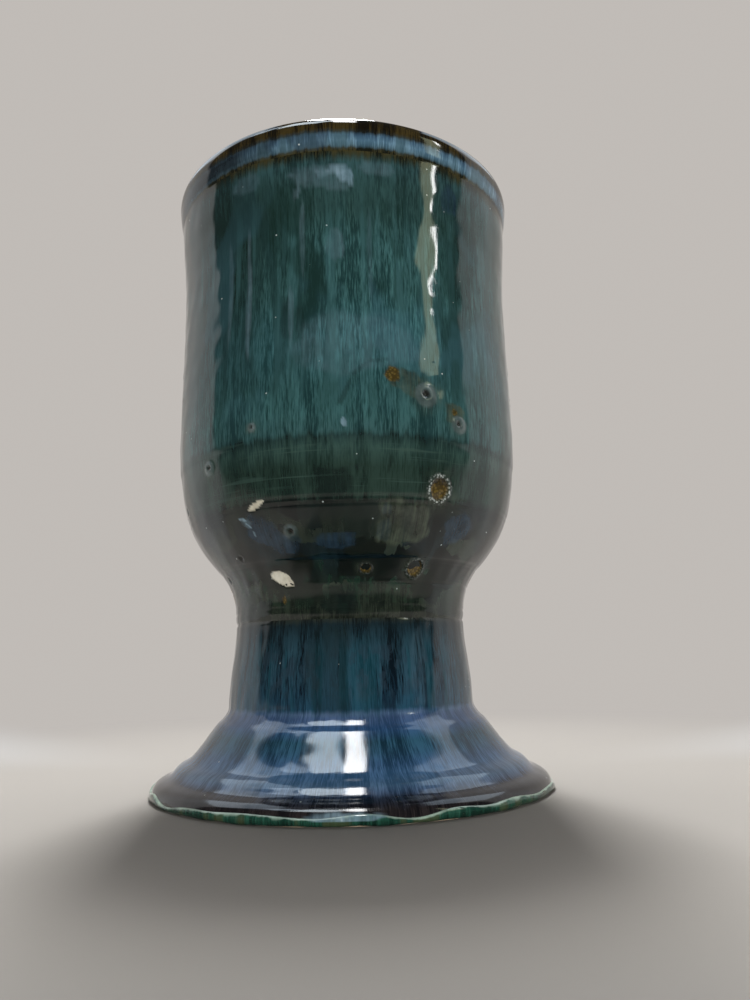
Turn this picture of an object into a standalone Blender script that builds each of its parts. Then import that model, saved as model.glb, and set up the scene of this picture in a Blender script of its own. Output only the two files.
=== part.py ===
"""Wheel-thrown stoneware goblet: a cup luted to a hollow flared pedestal, under its coats of glaze.

Every piece is turned about +Z. The origin is the middle of the bare ring that the goblet stands on.
Outlines are (radius, height) pairs in metres. The clay comes first, and the glaze coats are laid
on its skin, so a change to the clay carries through to every coat.
"""

import math

import bmesh
import bpy
import numpy as np

MM = 0.001
TURN_STEPS = 36
SHARP_ANGLE = math.radians(40)

# Whole goblet, from the ground to the top of the glazed lip
HEIGHT = 150.0 * MM

# Pedestal: the flared foot and the stem
FOOT_RADIUS = 46.9 * MM
FOOT_EDGE_HEIGHT = 3.5 * MM
FOOT_RING_WIDTH = 6.5 * MM
FLARE_HEIGHT = 14.6 * MM
FLARE_LIP_WIDTH = 3.4 * MM
STEM_BASE_RADIUS = 28.9 * MM
STEM_NECK_RADIUS = 27.4 * MM
STEM_LENGTH = 20.9 * MM
STEM_WALL = 6.4 * MM

# Luted joint: the pedestal's spigot, the slip on it and the clay collar wiped round it
SPIGOT_HEIGHT = 4.0 * MM
SPIGOT_WALL = 5.0 * MM
SLIP_THICKNESS = 0.9 * MM
COLLAR_HEIGHT = 12.6 * MM
COLLAR_TOP_RADIUS = 31.3 * MM
COLLAR_DEPTH = 3.0 * MM
COLLAR_EDGE = 0.9 * MM

# Bowl: the rounded underside, the slightly waisted wall and the beaded lip
UNDERSIDE_HEIGHT = 34.4 * MM
BELLY_RADIUS = 41.9 * MM
WAIST_RADIUS = 41.4 * MM
WAIST_TO_STEP = 22.0 * MM
STEP_RADIUS = 42.4 * MM
STEP_RISE = 1.4 * MM
BEAD_RADIUS = 43.2 * MM
BEAD_HEIGHT = 3.4 * MM
LIP_WALL = 4.6 * MM
BOWL_WALL = 4.7 * MM
FLOOR_THICKNESS = 9.5 * MM

# Glaze coats and the clearance that every seated or nested piece keeps
CLEARANCE = 0.3 * MM
GLAZE_THICKNESS = 0.6 * MM
ROLL_THICKNESS = 1.0 * MM
ROLL_HEIGHT = 2.6 * MM
ROLL_CLEAR_OF_GROUND = 0.7 * MM

# Heights that follow from the sizes above, from the ground up
STEM_BASE = FOOT_EDGE_HEIGHT + FLARE_HEIGHT
COLLAR_BASE = STEM_BASE + STEM_LENGTH
SPIGOT_TOP = COLLAR_BASE + SPIGOT_HEIGHT
BOWL_SEAT = SPIGOT_TOP + SLIP_THICKNESS + 2 * CLEARANCE
COLLAR_TOP = COLLAR_BASE + COLLAR_HEIGHT
BOWL_FLOOR = BOWL_SEAT + FLOOR_THICKNESS
BELLY = COLLAR_TOP + UNDERSIDE_HEIGHT

# Heights that follow from the top of the lip down, so the straight wall takes up a change of height
LIP_ROUND = LIP_WALL / 2
BEAD = HEIGHT - CLEARANCE - GLAZE_THICKNESS - LIP_ROUND
STEP = BEAD - BEAD_HEIGHT - STEP_RISE
WAIST = STEP - WAIST_TO_STEP
BELLY_TO_WAIST = WAIST - BELLY

# Radii of the joint, shared by the spigot, the slip, the collar and the bowl's seat
SPIGOT_RADIUS = STEM_NECK_RADIUS - COLLAR_DEPTH
SPIGOT_BORE = SPIGOT_RADIUS - SPIGOT_WALL

CLAY_COLOUR = (0.42, 0.30, 0.20, 1.0)
SLIP_COLOUR = (0.36, 0.25, 0.17, 1.0)
TEAL_GLAZE_COLOUR = (0.020, 0.085, 0.080, 1.0)
BLUE_GLAZE_COLOUR = (0.030, 0.085, 0.130, 1.0)
LINER_GLAZE_COLOUR = (0.030, 0.095, 0.090, 1.0)
IRON_GLAZE_COLOUR = (0.040, 0.024, 0.010, 1.0)
GREEN_GLAZE_COLOUR = (0.020, 0.110, 0.070, 1.0)


def bezier(start, start_pull, end_pull, end, count):
    """Cubic curve from start to end, as count points that include both ends."""
    t = np.linspace(0, 1, count)[:, None]
    near = (1 - t) ** 3 * np.array(start) + 3 * (1 - t) ** 2 * t * np.array(start_pull)
    far = 3 * (1 - t) * t**2 * np.array(end_pull) + t**3 * np.array(end)
    return near + far


def arc(centre, radius, start_degrees, end_degrees, count):
    """Circular arc about centre. Zero degrees points outwards and 90 points up."""
    a = np.radians(np.linspace(start_degrees, end_degrees, count))
    return np.array(centre) + radius * np.stack([np.cos(a), np.sin(a)], axis=1)


def joined(*stretches):
    """Stretches of outline end to end, with a point that two of them share kept once."""
    points = np.vstack(stretches)
    step = np.hypot(*np.diff(points, axis=0).T)
    return points[np.concatenate([[True], step > 1e-6])]


def underside_curve():
    """Clay under the bowl, from the belly down to the collar: a full curve that turns in like a shoulder."""
    lean = np.array([COLLAR_TOP_RADIUS + 0.72 * (BELLY_RADIUS - COLLAR_TOP_RADIUS),
                     COLLAR_TOP + 0.24 * UNDERSIDE_HEIGHT])
    return bezier(
        (BELLY_RADIUS, BELLY),
        (BELLY_RADIUS, BELLY - 0.58 * UNDERSIDE_HEIGHT),
        lean,
        (COLLAR_TOP_RADIUS, COLLAR_TOP),
        9,
    )


def collar_curve():
    """The wiped collar's outside: it leaves the bowl at a slope and ends upright on the stem."""
    return bezier(
        (COLLAR_TOP_RADIUS, COLLAR_TOP),
        (STEM_NECK_RADIUS + 0.55 * (COLLAR_TOP_RADIUS - STEM_NECK_RADIUS), COLLAR_TOP - 0.17 * COLLAR_HEIGHT),
        (STEM_NECK_RADIUS, COLLAR_BASE + 0.55 * COLLAR_HEIGHT),
        (STEM_NECK_RADIUS, COLLAR_BASE),
        6,
    )


def stem_curve():
    """The stem's outside, widening a little towards the foot."""
    return bezier(
        (STEM_NECK_RADIUS, COLLAR_BASE),
        (STEM_NECK_RADIUS, COLLAR_BASE - 0.35 * STEM_LENGTH),
        (STEM_BASE_RADIUS, STEM_BASE + 0.45 * STEM_LENGTH),
        (STEM_BASE_RADIUS, STEM_BASE + 0.06 * STEM_LENGTH),
        5,
    )


def flare_curve():
    """The foot's top: a close curve out of the stem, a hollow slope, and a thin rounded edge."""
    spread = FOOT_RADIUS - STEM_BASE_RADIUS
    flare_end = np.array([FOOT_RADIUS - FLARE_LIP_WIDTH, FOOT_EDGE_HEIGHT])
    turn = np.array([STEM_BASE_RADIUS + 0.07 * spread, STEM_BASE - 0.10 * FLARE_HEIGHT])
    close_curve = bezier(
        (STEM_BASE_RADIUS, STEM_BASE + 0.06 * STEM_LENGTH),
        (STEM_BASE_RADIUS, STEM_BASE + 0.01 * STEM_LENGTH),
        (STEM_BASE_RADIUS + 0.03 * spread, STEM_BASE - 0.03 * FLARE_HEIGHT),
        turn,
        4,
    )
    slope = bezier(
        turn,
        turn + np.array([0.21 * spread, -0.28 * FLARE_HEIGHT]),
        flare_end + np.array([-0.36 * spread, 0.22 * FLARE_HEIGHT]),
        flare_end,
        7,
    )
    edge = bezier(
        flare_end,
        flare_end + np.array([0.75 * FLARE_LIP_WIDTH, -0.22 * FOOT_EDGE_HEIGHT]),
        (FOOT_RADIUS, 0.55 * FOOT_EDGE_HEIGHT),
        (FOOT_RADIUS - 0.25 * FLARE_LIP_WIDTH, 0.0),
        6,
    )
    return joined(close_curve, slope, edge)


def lip_curve():
    """Over the lip, from the inside of the wall to the foot of the bead outside."""
    centre = (BEAD_RADIUS - LIP_ROUND, BEAD)
    over_the_top = arc(centre, LIP_ROUND, 180, -12, 8)
    under_bead = bezier(
        over_the_top[-1],
        (BEAD_RADIUS, BEAD - 0.5 * BEAD_HEIGHT),
        (STEP_RADIUS + 0.5 * (BEAD_RADIUS - STEP_RADIUS), STEP + STEP_RISE),
        (STEP_RADIUS, STEP),
        4,
    )
    return joined(over_the_top, under_bead)


def wall_curve():
    """Outside of the bowl's wall, from the step under the bead, through the waist, to the belly."""
    waist_pull = 0.45 * WAIST_TO_STEP
    upper = bezier(
        (STEP_RADIUS, STEP),
        (STEP_RADIUS, STEP - 0.35 * WAIST_TO_STEP),
        (WAIST_RADIUS, WAIST + waist_pull),
        (WAIST_RADIUS, WAIST),
        4,
    )
    lower = bezier(
        (WAIST_RADIUS, WAIST),
        (WAIST_RADIUS, WAIST - 0.4 * BELLY_TO_WAIST),
        (BELLY_RADIUS, BELLY + 0.4 * BELLY_TO_WAIST),
        (BELLY_RADIUS, BELLY),
        4,
    )
    return joined(upper, lower)


def inside_curve():
    """Inside of the bowl, from the middle of its floor up to the lip."""
    inner_belly = (BELLY_RADIUS - BOWL_WALL, BELLY)
    inner_lip = (BEAD_RADIUS - LIP_WALL, BEAD)
    depth = BELLY - BOWL_FLOOR
    floor = bezier(
        (0.0, BOWL_FLOOR),
        (0.80 * inner_belly[0], BOWL_FLOOR),
        (inner_belly[0], BOWL_FLOOR + 0.18 * depth),
        inner_belly,
        8,
    )
    wall = bezier(
        inner_belly,
        (inner_belly[0], BELLY + 0.4 * BELLY_TO_WAIST),
        (WAIST_RADIUS - BOWL_WALL, WAIST + 0.3 * WAIST_TO_STEP),
        inner_lip,
        6,
    )
    return joined(floor, wall)


def rebate_curve():
    """The cut under the bowl that takes the collar and the pedestal, from the collar's top to the axis."""
    blunt_edge = np.array([COLLAR_TOP_RADIUS - COLLAR_EDGE, COLLAR_TOP])
    shoulder = np.array([SPIGOT_RADIUS, BOWL_SEAT + 0.35 * (COLLAR_TOP - BOWL_SEAT)])
    return np.array([blunt_edge, shoulder, (SPIGOT_RADIUS, BOWL_SEAT), (0.0, BOWL_SEAT)])


def hollow_curve():
    """Inside of the pedestal, from the top of its spigot down to the inner edge of the foot ring."""
    stem_bore = STEM_BASE_RADIUS - STEM_WALL
    ring_bore = FOOT_RADIUS - 0.25 * FLARE_LIP_WIDTH - FOOT_RING_WIDTH
    bore = bezier(
        (SPIGOT_BORE, SPIGOT_TOP),
        (SPIGOT_BORE, COLLAR_BASE - 0.2 * STEM_LENGTH),
        (stem_bore, STEM_BASE + 0.5 * STEM_LENGTH),
        (stem_bore, STEM_BASE),
        4,
    )
    mouth = bezier(
        (stem_bore, STEM_BASE),
        (stem_bore, 0.45 * STEM_BASE),
        (ring_bore - 0.45 * (ring_bore - stem_bore), 0.20 * STEM_BASE),
        (ring_bore, 0.0),
        7,
    )
    return joined(bore, mouth)


class Skin:
    """The clay's whole surface as one path: up the inside of the bowl, over the lip and down the outside."""

    def __init__(self):
        self.points = joined(
            inside_curve(), lip_curve(), wall_curve(), underside_curve(), collar_curve(), stem_curve(), flare_curve()
        )
        step = np.hypot(*np.diff(self.points, axis=0).T)
        self.length = np.concatenate([[0.0], np.cumsum(step)])
        along = np.gradient(self.points, self.length, axis=0)
        along /= np.hypot(*along.T)[:, None]
        self.outward = np.stack([-along[:, 1], along[:, 0]], axis=1)
        self.outward[0] = (0.0, 1.0)
        self.top = int(np.argmax(self.points[:, 1]))

    def inside_at(self, height):
        """Length along the path where the inside of the bowl reaches this height."""
        rising = slice(0, self.top + 1)
        return float(np.interp(height, self.points[rising, 1], self.length[rising]))

    def outside_at(self, height):
        """Length along the path where the outside comes down to this height."""
        falling = slice(None, self.top - 1, -1)
        return float(np.interp(height, self.points[falling, 1], self.length[falling]))

    def coat(self, start, end, thickness):
        """Closed outline of a coat between two lengths along the path, clear of the clay and of its neighbours."""
        first = start + CLEARANCE / 2 if start > 0 else 0.0
        last = end - CLEARANCE / 2
        between = self.length[(self.length > first + CLEARANCE) & (self.length < last - CLEARANCE)]
        at = np.concatenate([[first], between, [last]])
        base = np.stack([np.interp(at, self.length, self.points[:, i]) for i in (0, 1)], axis=1)
        lift = np.stack([np.interp(at, self.length, self.outward[:, i]) for i in (0, 1)], axis=1)
        lift /= np.hypot(*lift.T)[:, None]
        under = base + CLEARANCE * lift
        over = base + (CLEARANCE + thickness) * lift
        return np.vstack([over, under[::-1]])


def make_material(name, colour, roughness, coat=0.0):
    material = bpy.data.materials.new(name)
    material.use_nodes = True
    shader = material.node_tree.nodes["Principled BSDF"]
    shader.inputs["Base Color"].default_value = colour
    shader.inputs["Roughness"].default_value = roughness
    shader.inputs["Metallic"].default_value = 0.0
    shader.inputs["Coat Weight"].default_value = coat
    material.diffuse_color = colour
    return material


def turn(name, outline, material):
    """Spins an outline about +Z into a solid of its own. An outline that starts on the axis ends on it too."""
    bm = bmesh.new()
    on_axis = outline[0][0] < 1e-9
    ring = [bm.verts.new((max(radius, 0.0), 0.0, height)) for radius, height in outline]
    pairs = list(zip(ring, ring[1:]))
    if not on_axis:
        pairs.append((ring[-1], ring[0]))
    edges = [bm.edges.new(pair) for pair in pairs]
    bmesh.ops.spin(
        bm,
        geom=ring + edges,
        cent=(0, 0, 0),
        axis=(0, 0, 1),
        angle=2 * math.pi,
        steps=TURN_STEPS,
        use_merge=True,
    )
    bmesh.ops.remove_doubles(bm, verts=bm.verts, dist=1e-6)
    bmesh.ops.recalc_face_normals(bm, faces=bm.faces)
    mesh = bpy.data.meshes.new(name)
    bm.to_mesh(mesh)
    bm.free()
    mesh.shade_smooth()
    mesh.set_sharp_from_angle(angle=SHARP_ANGLE)
    mesh.materials.append(material)
    piece = bpy.data.objects.new(name, mesh)
    bpy.context.scene.collection.objects.link(piece)
    return piece


def bowl_outline():
    """Floor, inside, lip and outside of the thrown cup, then the cut for the collar and the flat seat."""
    return joined(inside_curve(), lip_curve(), wall_curve(), underside_curve(), rebate_curve())


def pedestal_outline():
    """Spigot, shoulder, stem, flare, foot ring and hollow of the thrown pedestal, as a closed loop."""
    shoulder = np.array([(SPIGOT_RADIUS, SPIGOT_TOP), (SPIGOT_RADIUS, COLLAR_BASE)])
    return joined(shoulder, stem_curve(), flare_curve(), hollow_curve()[::-1])


def slip_outline():
    """The flat ring of slip between the spigot and the bowl's seat."""
    low = SPIGOT_TOP + CLEARANCE
    high = low + SLIP_THICKNESS
    return np.array([(SPIGOT_RADIUS, high), (SPIGOT_RADIUS, low), (SPIGOT_BORE, low), (SPIGOT_BORE, high)])


def collar_outline():
    """The coil of clay wiped round the joint: outside curve, flat foot on the stem, and the sides on the joint."""
    bore = SPIGOT_RADIUS + CLEARANCE
    outside = collar_curve()
    outside[0, 1] -= CLEARANCE
    outside[-1, 1] += CLEARANCE
    cut = rebate_curve()
    inner_top = cut[0] + np.array([CLEARANCE, -CLEARANCE])
    inner_shoulder = np.array([bore, cut[1][1] - CLEARANCE])
    inside = np.array([(bore, COLLAR_BASE + CLEARANCE), inner_shoulder, inner_top])
    return joined(outside, inside)


def main():
    for obj in list(bpy.data.objects):
        bpy.data.objects.remove(obj)

    clay = make_material("stoneware_clay", CLAY_COLOUR, 0.85)
    slip = make_material("joining_slip", SLIP_COLOUR, 0.9)
    teal = make_material("teal_glaze", TEAL_GLAZE_COLOUR, 0.12, 0.6)
    blue = make_material("blue_glaze", BLUE_GLAZE_COLOUR, 0.12, 0.6)
    liner = make_material("liner_glaze", LINER_GLAZE_COLOUR, 0.14, 0.6)
    iron = make_material("iron_glaze", IRON_GLAZE_COLOUR, 0.12, 0.6)
    green = make_material("pooled_green_glaze", GREEN_GLAZE_COLOUR, 0.10, 0.6)

    turn("bowl", bowl_outline(), clay)
    turn("pedestal", pedestal_outline(), clay)
    turn("joint_slip", slip_outline(), slip)
    turn("joint_collar", collar_outline(), clay)

    skin = Skin()
    lip_inside = skin.inside_at(STEP)
    lip_outside = skin.outside_at(STEP)
    joint_line = skin.outside_at(COLLAR_BASE)
    roll_top = skin.outside_at(ROLL_CLEAR_OF_GROUND + ROLL_HEIGHT)
    roll_foot = skin.outside_at(ROLL_CLEAR_OF_GROUND)
    turn("liner_glaze", skin.coat(0.0, lip_inside, GLAZE_THICKNESS), liner)
    turn("lip_glaze", skin.coat(lip_inside, lip_outside, GLAZE_THICKNESS), iron)
    turn("bowl_glaze", skin.coat(lip_outside, joint_line, GLAZE_THICKNESS), teal)
    turn("pedestal_glaze", skin.coat(joint_line, roll_top, GLAZE_THICKNESS), blue)
    turn("foot_glaze_roll", skin.coat(roll_top, roll_foot, ROLL_THICKNESS), green)


main()
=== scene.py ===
"""Looks of a wheel-thrown stoneware goblet under streaked teal and blue glaze.

The clay's skin is one path of (radius, height) that climbs the inside of the bowl, turns over the
lip and comes down the outside to the edge of the foot. Each coat of glaze is a stretch of that path
turned about +Z and lifted along its outward normal by the coat's build and by the marks of the
wheel and the kiln. Lengths are in metres. Azimuth is zero at the front, on -Y, and grows to the
right, towards +X.
"""

import logging
import math
from collections.abc import Callable
from dataclasses import dataclass
from enum import Enum

import bpy
import numpy as np
from mathutils import Matrix, Vector


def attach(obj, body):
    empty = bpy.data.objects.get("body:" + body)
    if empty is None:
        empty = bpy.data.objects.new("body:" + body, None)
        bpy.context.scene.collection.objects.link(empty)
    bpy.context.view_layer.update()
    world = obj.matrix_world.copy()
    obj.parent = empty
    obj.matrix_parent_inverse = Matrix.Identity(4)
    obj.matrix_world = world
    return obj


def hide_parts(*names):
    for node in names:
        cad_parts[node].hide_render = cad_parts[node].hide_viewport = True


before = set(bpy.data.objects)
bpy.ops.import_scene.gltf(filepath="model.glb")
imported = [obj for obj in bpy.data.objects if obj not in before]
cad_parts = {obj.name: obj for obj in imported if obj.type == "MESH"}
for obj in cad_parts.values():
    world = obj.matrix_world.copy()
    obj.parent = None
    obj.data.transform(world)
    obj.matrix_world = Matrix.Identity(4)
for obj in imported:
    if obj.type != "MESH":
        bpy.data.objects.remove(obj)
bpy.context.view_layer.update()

MM = 0.001
Array = np.ndarray
Masks = dict[str, Array]
Colour = tuple[float, float, float]
Place = tuple[float, float, float]
Edge = Callable[[Array], Array]
Sockets = dict[str, bpy.types.NodeSocket]
log = logging.getLogger("goblet")


@dataclass(frozen=True)
class ClaySizes:
    """Sizes of the fired clay under the glaze, the same as the solids have."""

    height: float = 150.0 * MM
    foot_radius: float = 46.9 * MM
    foot_edge_height: float = 3.5 * MM
    foot_ring_width: float = 6.5 * MM
    flare_height: float = 14.6 * MM
    flare_lip_width: float = 3.4 * MM
    stem_base_radius: float = 28.9 * MM
    stem_neck_radius: float = 27.4 * MM
    stem_length: float = 20.9 * MM
    stem_wall: float = 6.4 * MM
    spigot_height: float = 4.0 * MM
    spigot_radius: float = 24.4 * MM
    spigot_bore: float = 19.4 * MM
    collar_height: float = 12.6 * MM
    collar_top_radius: float = 31.3 * MM
    underside_height: float = 34.4 * MM
    belly_radius: float = 41.9 * MM
    waist_radius: float = 41.4 * MM
    waist_to_step: float = 22.0 * MM
    step_radius: float = 42.4 * MM
    step_rise: float = 1.4 * MM
    bead_radius: float = 43.2 * MM
    bead_height: float = 3.4 * MM
    lip_wall: float = 4.6 * MM
    bowl_wall: float = 4.7 * MM
    bowl_floor: float = 54.0 * MM
    clearance: float = 0.3 * MM
    glaze: float = 0.6 * MM

    @property
    def build(self) -> float:
        """How far the face of a coat stands off the clay."""
        return self.clearance + self.glaze

    @property
    def stem_base(self) -> float:
        """Height where the stem turns into the flare."""
        return self.foot_edge_height + self.flare_height

    @property
    def collar_base(self) -> float:
        """Height of the joint line, at the lower edge of the collar."""
        return self.stem_base + self.stem_length

    @property
    def collar_top(self) -> float:
        """Height where the collar runs out on the bowl."""
        return self.collar_base + self.collar_height

    @property
    def belly(self) -> float:
        """Height where the bowl is widest below its waist."""
        return self.collar_top + self.underside_height

    @property
    def bead(self) -> float:
        """Height of the middle of the rounded lip."""
        return self.height - self.build - self.lip_wall / 2

    @property
    def step(self) -> float:
        """Height of the small step under the lip's bead."""
        return self.bead - self.bead_height - self.step_rise

    @property
    def waist(self) -> float:
        """Height of the bowl's narrowest place."""
        return self.step - self.waist_to_step


SIZES = ClaySizes()


def bezier(start: tuple, start_pull: tuple, end_pull: tuple, end: tuple, count: int = 48) -> Array:
    """Cubic curve: the four points weighted by the cubic Bernstein terms.

    Args:
        start: First point, as (radius, height).
        start_pull: Point that the curve leaves towards.
        end_pull: Point that the curve arrives from.
        end: Last point.
        count: Number of points, both ends included.

    Returns:
        Points of shape (count, 2).
    """
    t = np.linspace(0, 1, count)[:, None]
    near = (1 - t) ** 3 * np.array(start) + 3 * (1 - t) ** 2 * t * np.array(start_pull)
    far = 3 * (1 - t) * t**2 * np.array(end_pull) + t**3 * np.array(end)
    return near + far


def smoothstep(value: Array, low: float, high: float) -> Array:
    """Zero up to low and one from high, with the cubic 3t^2 - 2t^3 between. High may be below low."""
    t = np.clip((value - low) / (high - low), 0, 1)
    return t * t * (3 - 2 * t)


def bump(value: Array, centre: float | Array, width: float) -> Array:
    """Bell of height one about centre: exp of minus the squared distance over width."""
    return np.exp(-(((value - centre) / width) ** 2))


class Skin:
    """The clay's surface as one path, from the middle of the bowl's floor to the edge of the foot."""

    SPACING = 0.2 * MM
    SOFTENING = 0.7 * MM
    SHORTEST = 1e-7

    def __init__(self, sizes: ClaySizes) -> None:
        """Joins the stretches, spaces them evenly and softens their corners.

        Args:
            sizes: The clay's sizes.
        """
        self.sizes = sizes
        outside = (self.wall(), self.underside(), self.collar(), self.stem(), self.flare())
        raw = np.vstack([self.inside(), self.lip(), *outside])
        step = np.hypot(*np.diff(raw, axis=0).T)
        raw = raw[np.concatenate([[True], step > self.SHORTEST])]
        along = np.concatenate([[0.0], np.cumsum(np.hypot(*np.diff(raw, axis=0).T))])
        self.length = np.arange(0.0, along[-1], self.SPACING)
        even = np.stack([np.interp(self.length, along, raw[:, i]) for i in (0, 1)], axis=1)
        self.points = self.softened(even)
        way = np.gradient(self.points, self.length, axis=0)
        way /= np.hypot(*way.T)[:, None]
        self.outward = np.stack([-way[:, 1], way[:, 0]], axis=1)
        self.outward[0] = (0.0, 1.0)
        self.top = int(np.argmax(self.points[:, 1]))

    def softened(self, points: Array) -> Array:
        """Averages the path with a bell of SOFTENING, and keeps both ends in place.

        Args:
            points: The path, evenly spaced.

        Returns:
            The softened path.
        """
        reach = int(3 * self.SOFTENING / self.SPACING)
        weights = bump(np.arange(-reach, reach + 1) * self.SPACING, 0.0, self.SOFTENING)
        weights /= weights.sum()
        before = 2 * points[0] - points[reach:0:-1]
        after = 2 * points[-1] - points[-2 : -reach - 2 : -1]
        padded = np.vstack([before, points, after])
        return np.stack([np.convolve(padded[:, i], weights, "valid") for i in (0, 1)], axis=1)

    def inside(self) -> Array:
        """Floor of the bowl from its middle, then the inner wall up to the lip.

        Returns:
            Points as (radius, height), of shape (count, 2).
        """
        s = self.sizes
        inner = s.belly_radius - s.bowl_wall
        depth = s.belly - s.bowl_floor
        floor = bezier((0.0, s.bowl_floor), (0.80 * inner, s.bowl_floor),
                       (inner, s.bowl_floor + 0.18 * depth), (inner, s.belly), 80)
        wall = bezier((inner, s.belly), (inner, s.belly + 0.4 * (s.waist - s.belly)),
                      (s.waist_radius - s.bowl_wall, s.waist + 0.3 * s.waist_to_step),
                      (s.bead_radius - s.lip_wall, s.bead))
        return np.vstack([floor, wall])

    def lip(self) -> Array:
        """Half circle over the lip, then the bead's outside down to the step.

        Returns:
            Points as (radius, height), of shape (count, 2).
        """
        s = self.sizes
        half = s.lip_wall / 2
        angle = np.radians(np.linspace(180, -12, 40))
        middle = np.array((s.bead_radius - half, s.bead))
        over = middle + half * np.stack([np.cos(angle), np.sin(angle)], axis=1)
        under = bezier(over[-1], (s.bead_radius, s.bead - 0.5 * s.bead_height),
                       (0.5 * (s.step_radius + s.bead_radius), s.step + s.step_rise),
                       (s.step_radius, s.step))
        return np.vstack([over, under])

    def wall(self) -> Array:
        """Outside of the wall, from the step through the waist to the belly.

        Returns:
            Points as (radius, height), of shape (count, 2).
        """
        s = self.sizes
        drop = s.waist - s.belly
        upper = bezier((s.step_radius, s.step), (s.step_radius, s.step - 0.35 * s.waist_to_step),
                       (s.waist_radius, s.waist + 0.45 * s.waist_to_step), (s.waist_radius, s.waist))
        lower = bezier((s.waist_radius, s.waist), (s.waist_radius, s.waist - 0.4 * drop),
                       (s.belly_radius, s.belly + 0.4 * drop), (s.belly_radius, s.belly))
        return np.vstack([upper, lower])

    def underside(self) -> Array:
        """Full curve under the bowl, from the belly to the top of the collar.

        Returns:
            Points as (radius, height), of shape (count, 2).
        """
        s = self.sizes
        lean = s.collar_top_radius + 0.72 * (s.belly_radius - s.collar_top_radius)
        return bezier((s.belly_radius, s.belly), (s.belly_radius, s.belly - 0.58 * s.underside_height),
                      (lean, s.collar_top + 0.24 * s.underside_height),
                      (s.collar_top_radius, s.collar_top))

    def collar(self) -> Array:
        """The wiped collar, which ends upright on the stem.

        Returns:
            Points as (radius, height), of shape (count, 2).
        """
        s = self.sizes
        pull = s.stem_neck_radius + 0.55 * (s.collar_top_radius - s.stem_neck_radius)
        return bezier((s.collar_top_radius, s.collar_top), (pull, s.collar_top - 0.17 * s.collar_height),
                      (s.stem_neck_radius, s.collar_base + 0.55 * s.collar_height),
                      (s.stem_neck_radius, s.collar_base))

    def stem(self) -> Array:
        """The stem, widening a little towards the foot.

        Returns:
            Points as (radius, height), of shape (count, 2).
        """
        s = self.sizes
        return bezier((s.stem_neck_radius, s.collar_base),
                      (s.stem_neck_radius, s.collar_base - 0.35 * s.stem_length),
                      (s.stem_base_radius, s.stem_base + 0.45 * s.stem_length),
                      (s.stem_base_radius, s.stem_base + 0.06 * s.stem_length))

    def flare(self) -> Array:
        """Close curve out of the stem, the hollow slope, and the thin rounded edge of the foot.

        Returns:
            Points as (radius, height), of shape (count, 2).
        """
        s = self.sizes
        spread = s.foot_radius - s.stem_base_radius
        turn = (s.stem_base_radius + 0.07 * spread, s.stem_base - 0.10 * s.flare_height)
        end = (s.foot_radius - s.flare_lip_width, s.foot_edge_height)
        close = bezier((s.stem_base_radius, s.stem_base + 0.06 * s.stem_length),
                       (s.stem_base_radius, s.stem_base + 0.01 * s.stem_length),
                       (s.stem_base_radius + 0.03 * spread, s.stem_base - 0.03 * s.flare_height), turn)
        slope = bezier(turn, (turn[0] + 0.21 * spread, turn[1] - 0.28 * s.flare_height),
                       (end[0] - 0.36 * spread, end[1] + 0.22 * s.flare_height), end)
        edge = bezier(end, (end[0] + 0.75 * s.flare_lip_width, end[1] - 0.22 * s.foot_edge_height),
                      (s.foot_radius, 0.55 * s.foot_edge_height),
                      (s.foot_radius - 0.25 * s.flare_lip_width, 0.0))
        return np.vstack([close, slope, edge])

    def inside_at(self, height: float) -> float:
        """Length along the path where the inside of the bowl reaches a height."""
        rising = slice(0, self.top + 1)
        return float(np.interp(height, self.points[rising, 1], self.length[rising]))

    def outside_at(self, height: float) -> float:
        """Length along the path where the outside comes down to a height."""
        falling = slice(None, self.top - 1, -1)
        return float(np.interp(height, self.points[falling, 1], self.length[falling]))

    def radius_at(self, length: Array | float) -> Array:
        """Clay radius at lengths along the path."""
        return np.interp(length, self.length, self.points[:, 0])

    def lifted(self, azimuth: Array, length: Array, lift: Array | float) -> Array:
        """Places on the turned path, moved along the outward normal.

        Args:
            azimuth: Turn about +Z, in radians.
            length: Length along the path.
            lift: Distance along the outward normal.

        Returns:
            Places of shape (..., 3).
        """
        radius, height = (np.interp(length, self.length, self.points[:, i]) for i in (0, 1))
        out, up = (np.interp(length, self.length, self.outward[:, i]) for i in (0, 1))
        reach = np.maximum(radius + lift * out, 0.0)
        return np.stack([reach * np.sin(azimuth), -reach * np.cos(azimuth), height + lift * up], axis=-1)


class Waves:
    """Sum of sines with whole turns round the pot and slow turns along it, fixed by a seed."""

    def __init__(self, seed: int, around: tuple[int, int], along: tuple[float, float],
                 count: int = 24) -> None:
        """Draws the waves.

        Args:
            seed: Fixes the draw.
            around: Fewest and most waves in one turn of the pot.
            along: Shortest and longest wavelength along the path.
            count: Number of waves.
        """
        draw = np.random.default_rng(seed)
        self.around = draw.integers(around[0], around[1] + 1, count)
        self.along = draw.choice([-1.0, 1.0], count) * 2 * math.pi / draw.uniform(*along, count)
        self.phase = draw.uniform(0, 2 * math.pi, count)
        self.size = 1 / math.sqrt(count)

    def __call__(self, azimuth: Array, length: Array | float = 0.0) -> Array:
        """Height of the sum, mostly between minus and plus one and a half.

        Args:
            azimuth: Turn about +Z, in radians.
            length: Length along the path.

        Returns:
            The sum at each place.
        """
        total = np.zeros(np.broadcast(azimuth, length).shape)
        for turns, rate, phase in zip(self.around, self.along, self.phase):
            total += np.sin(turns * azimuth + rate * length + phase)
        return self.size * total


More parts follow.
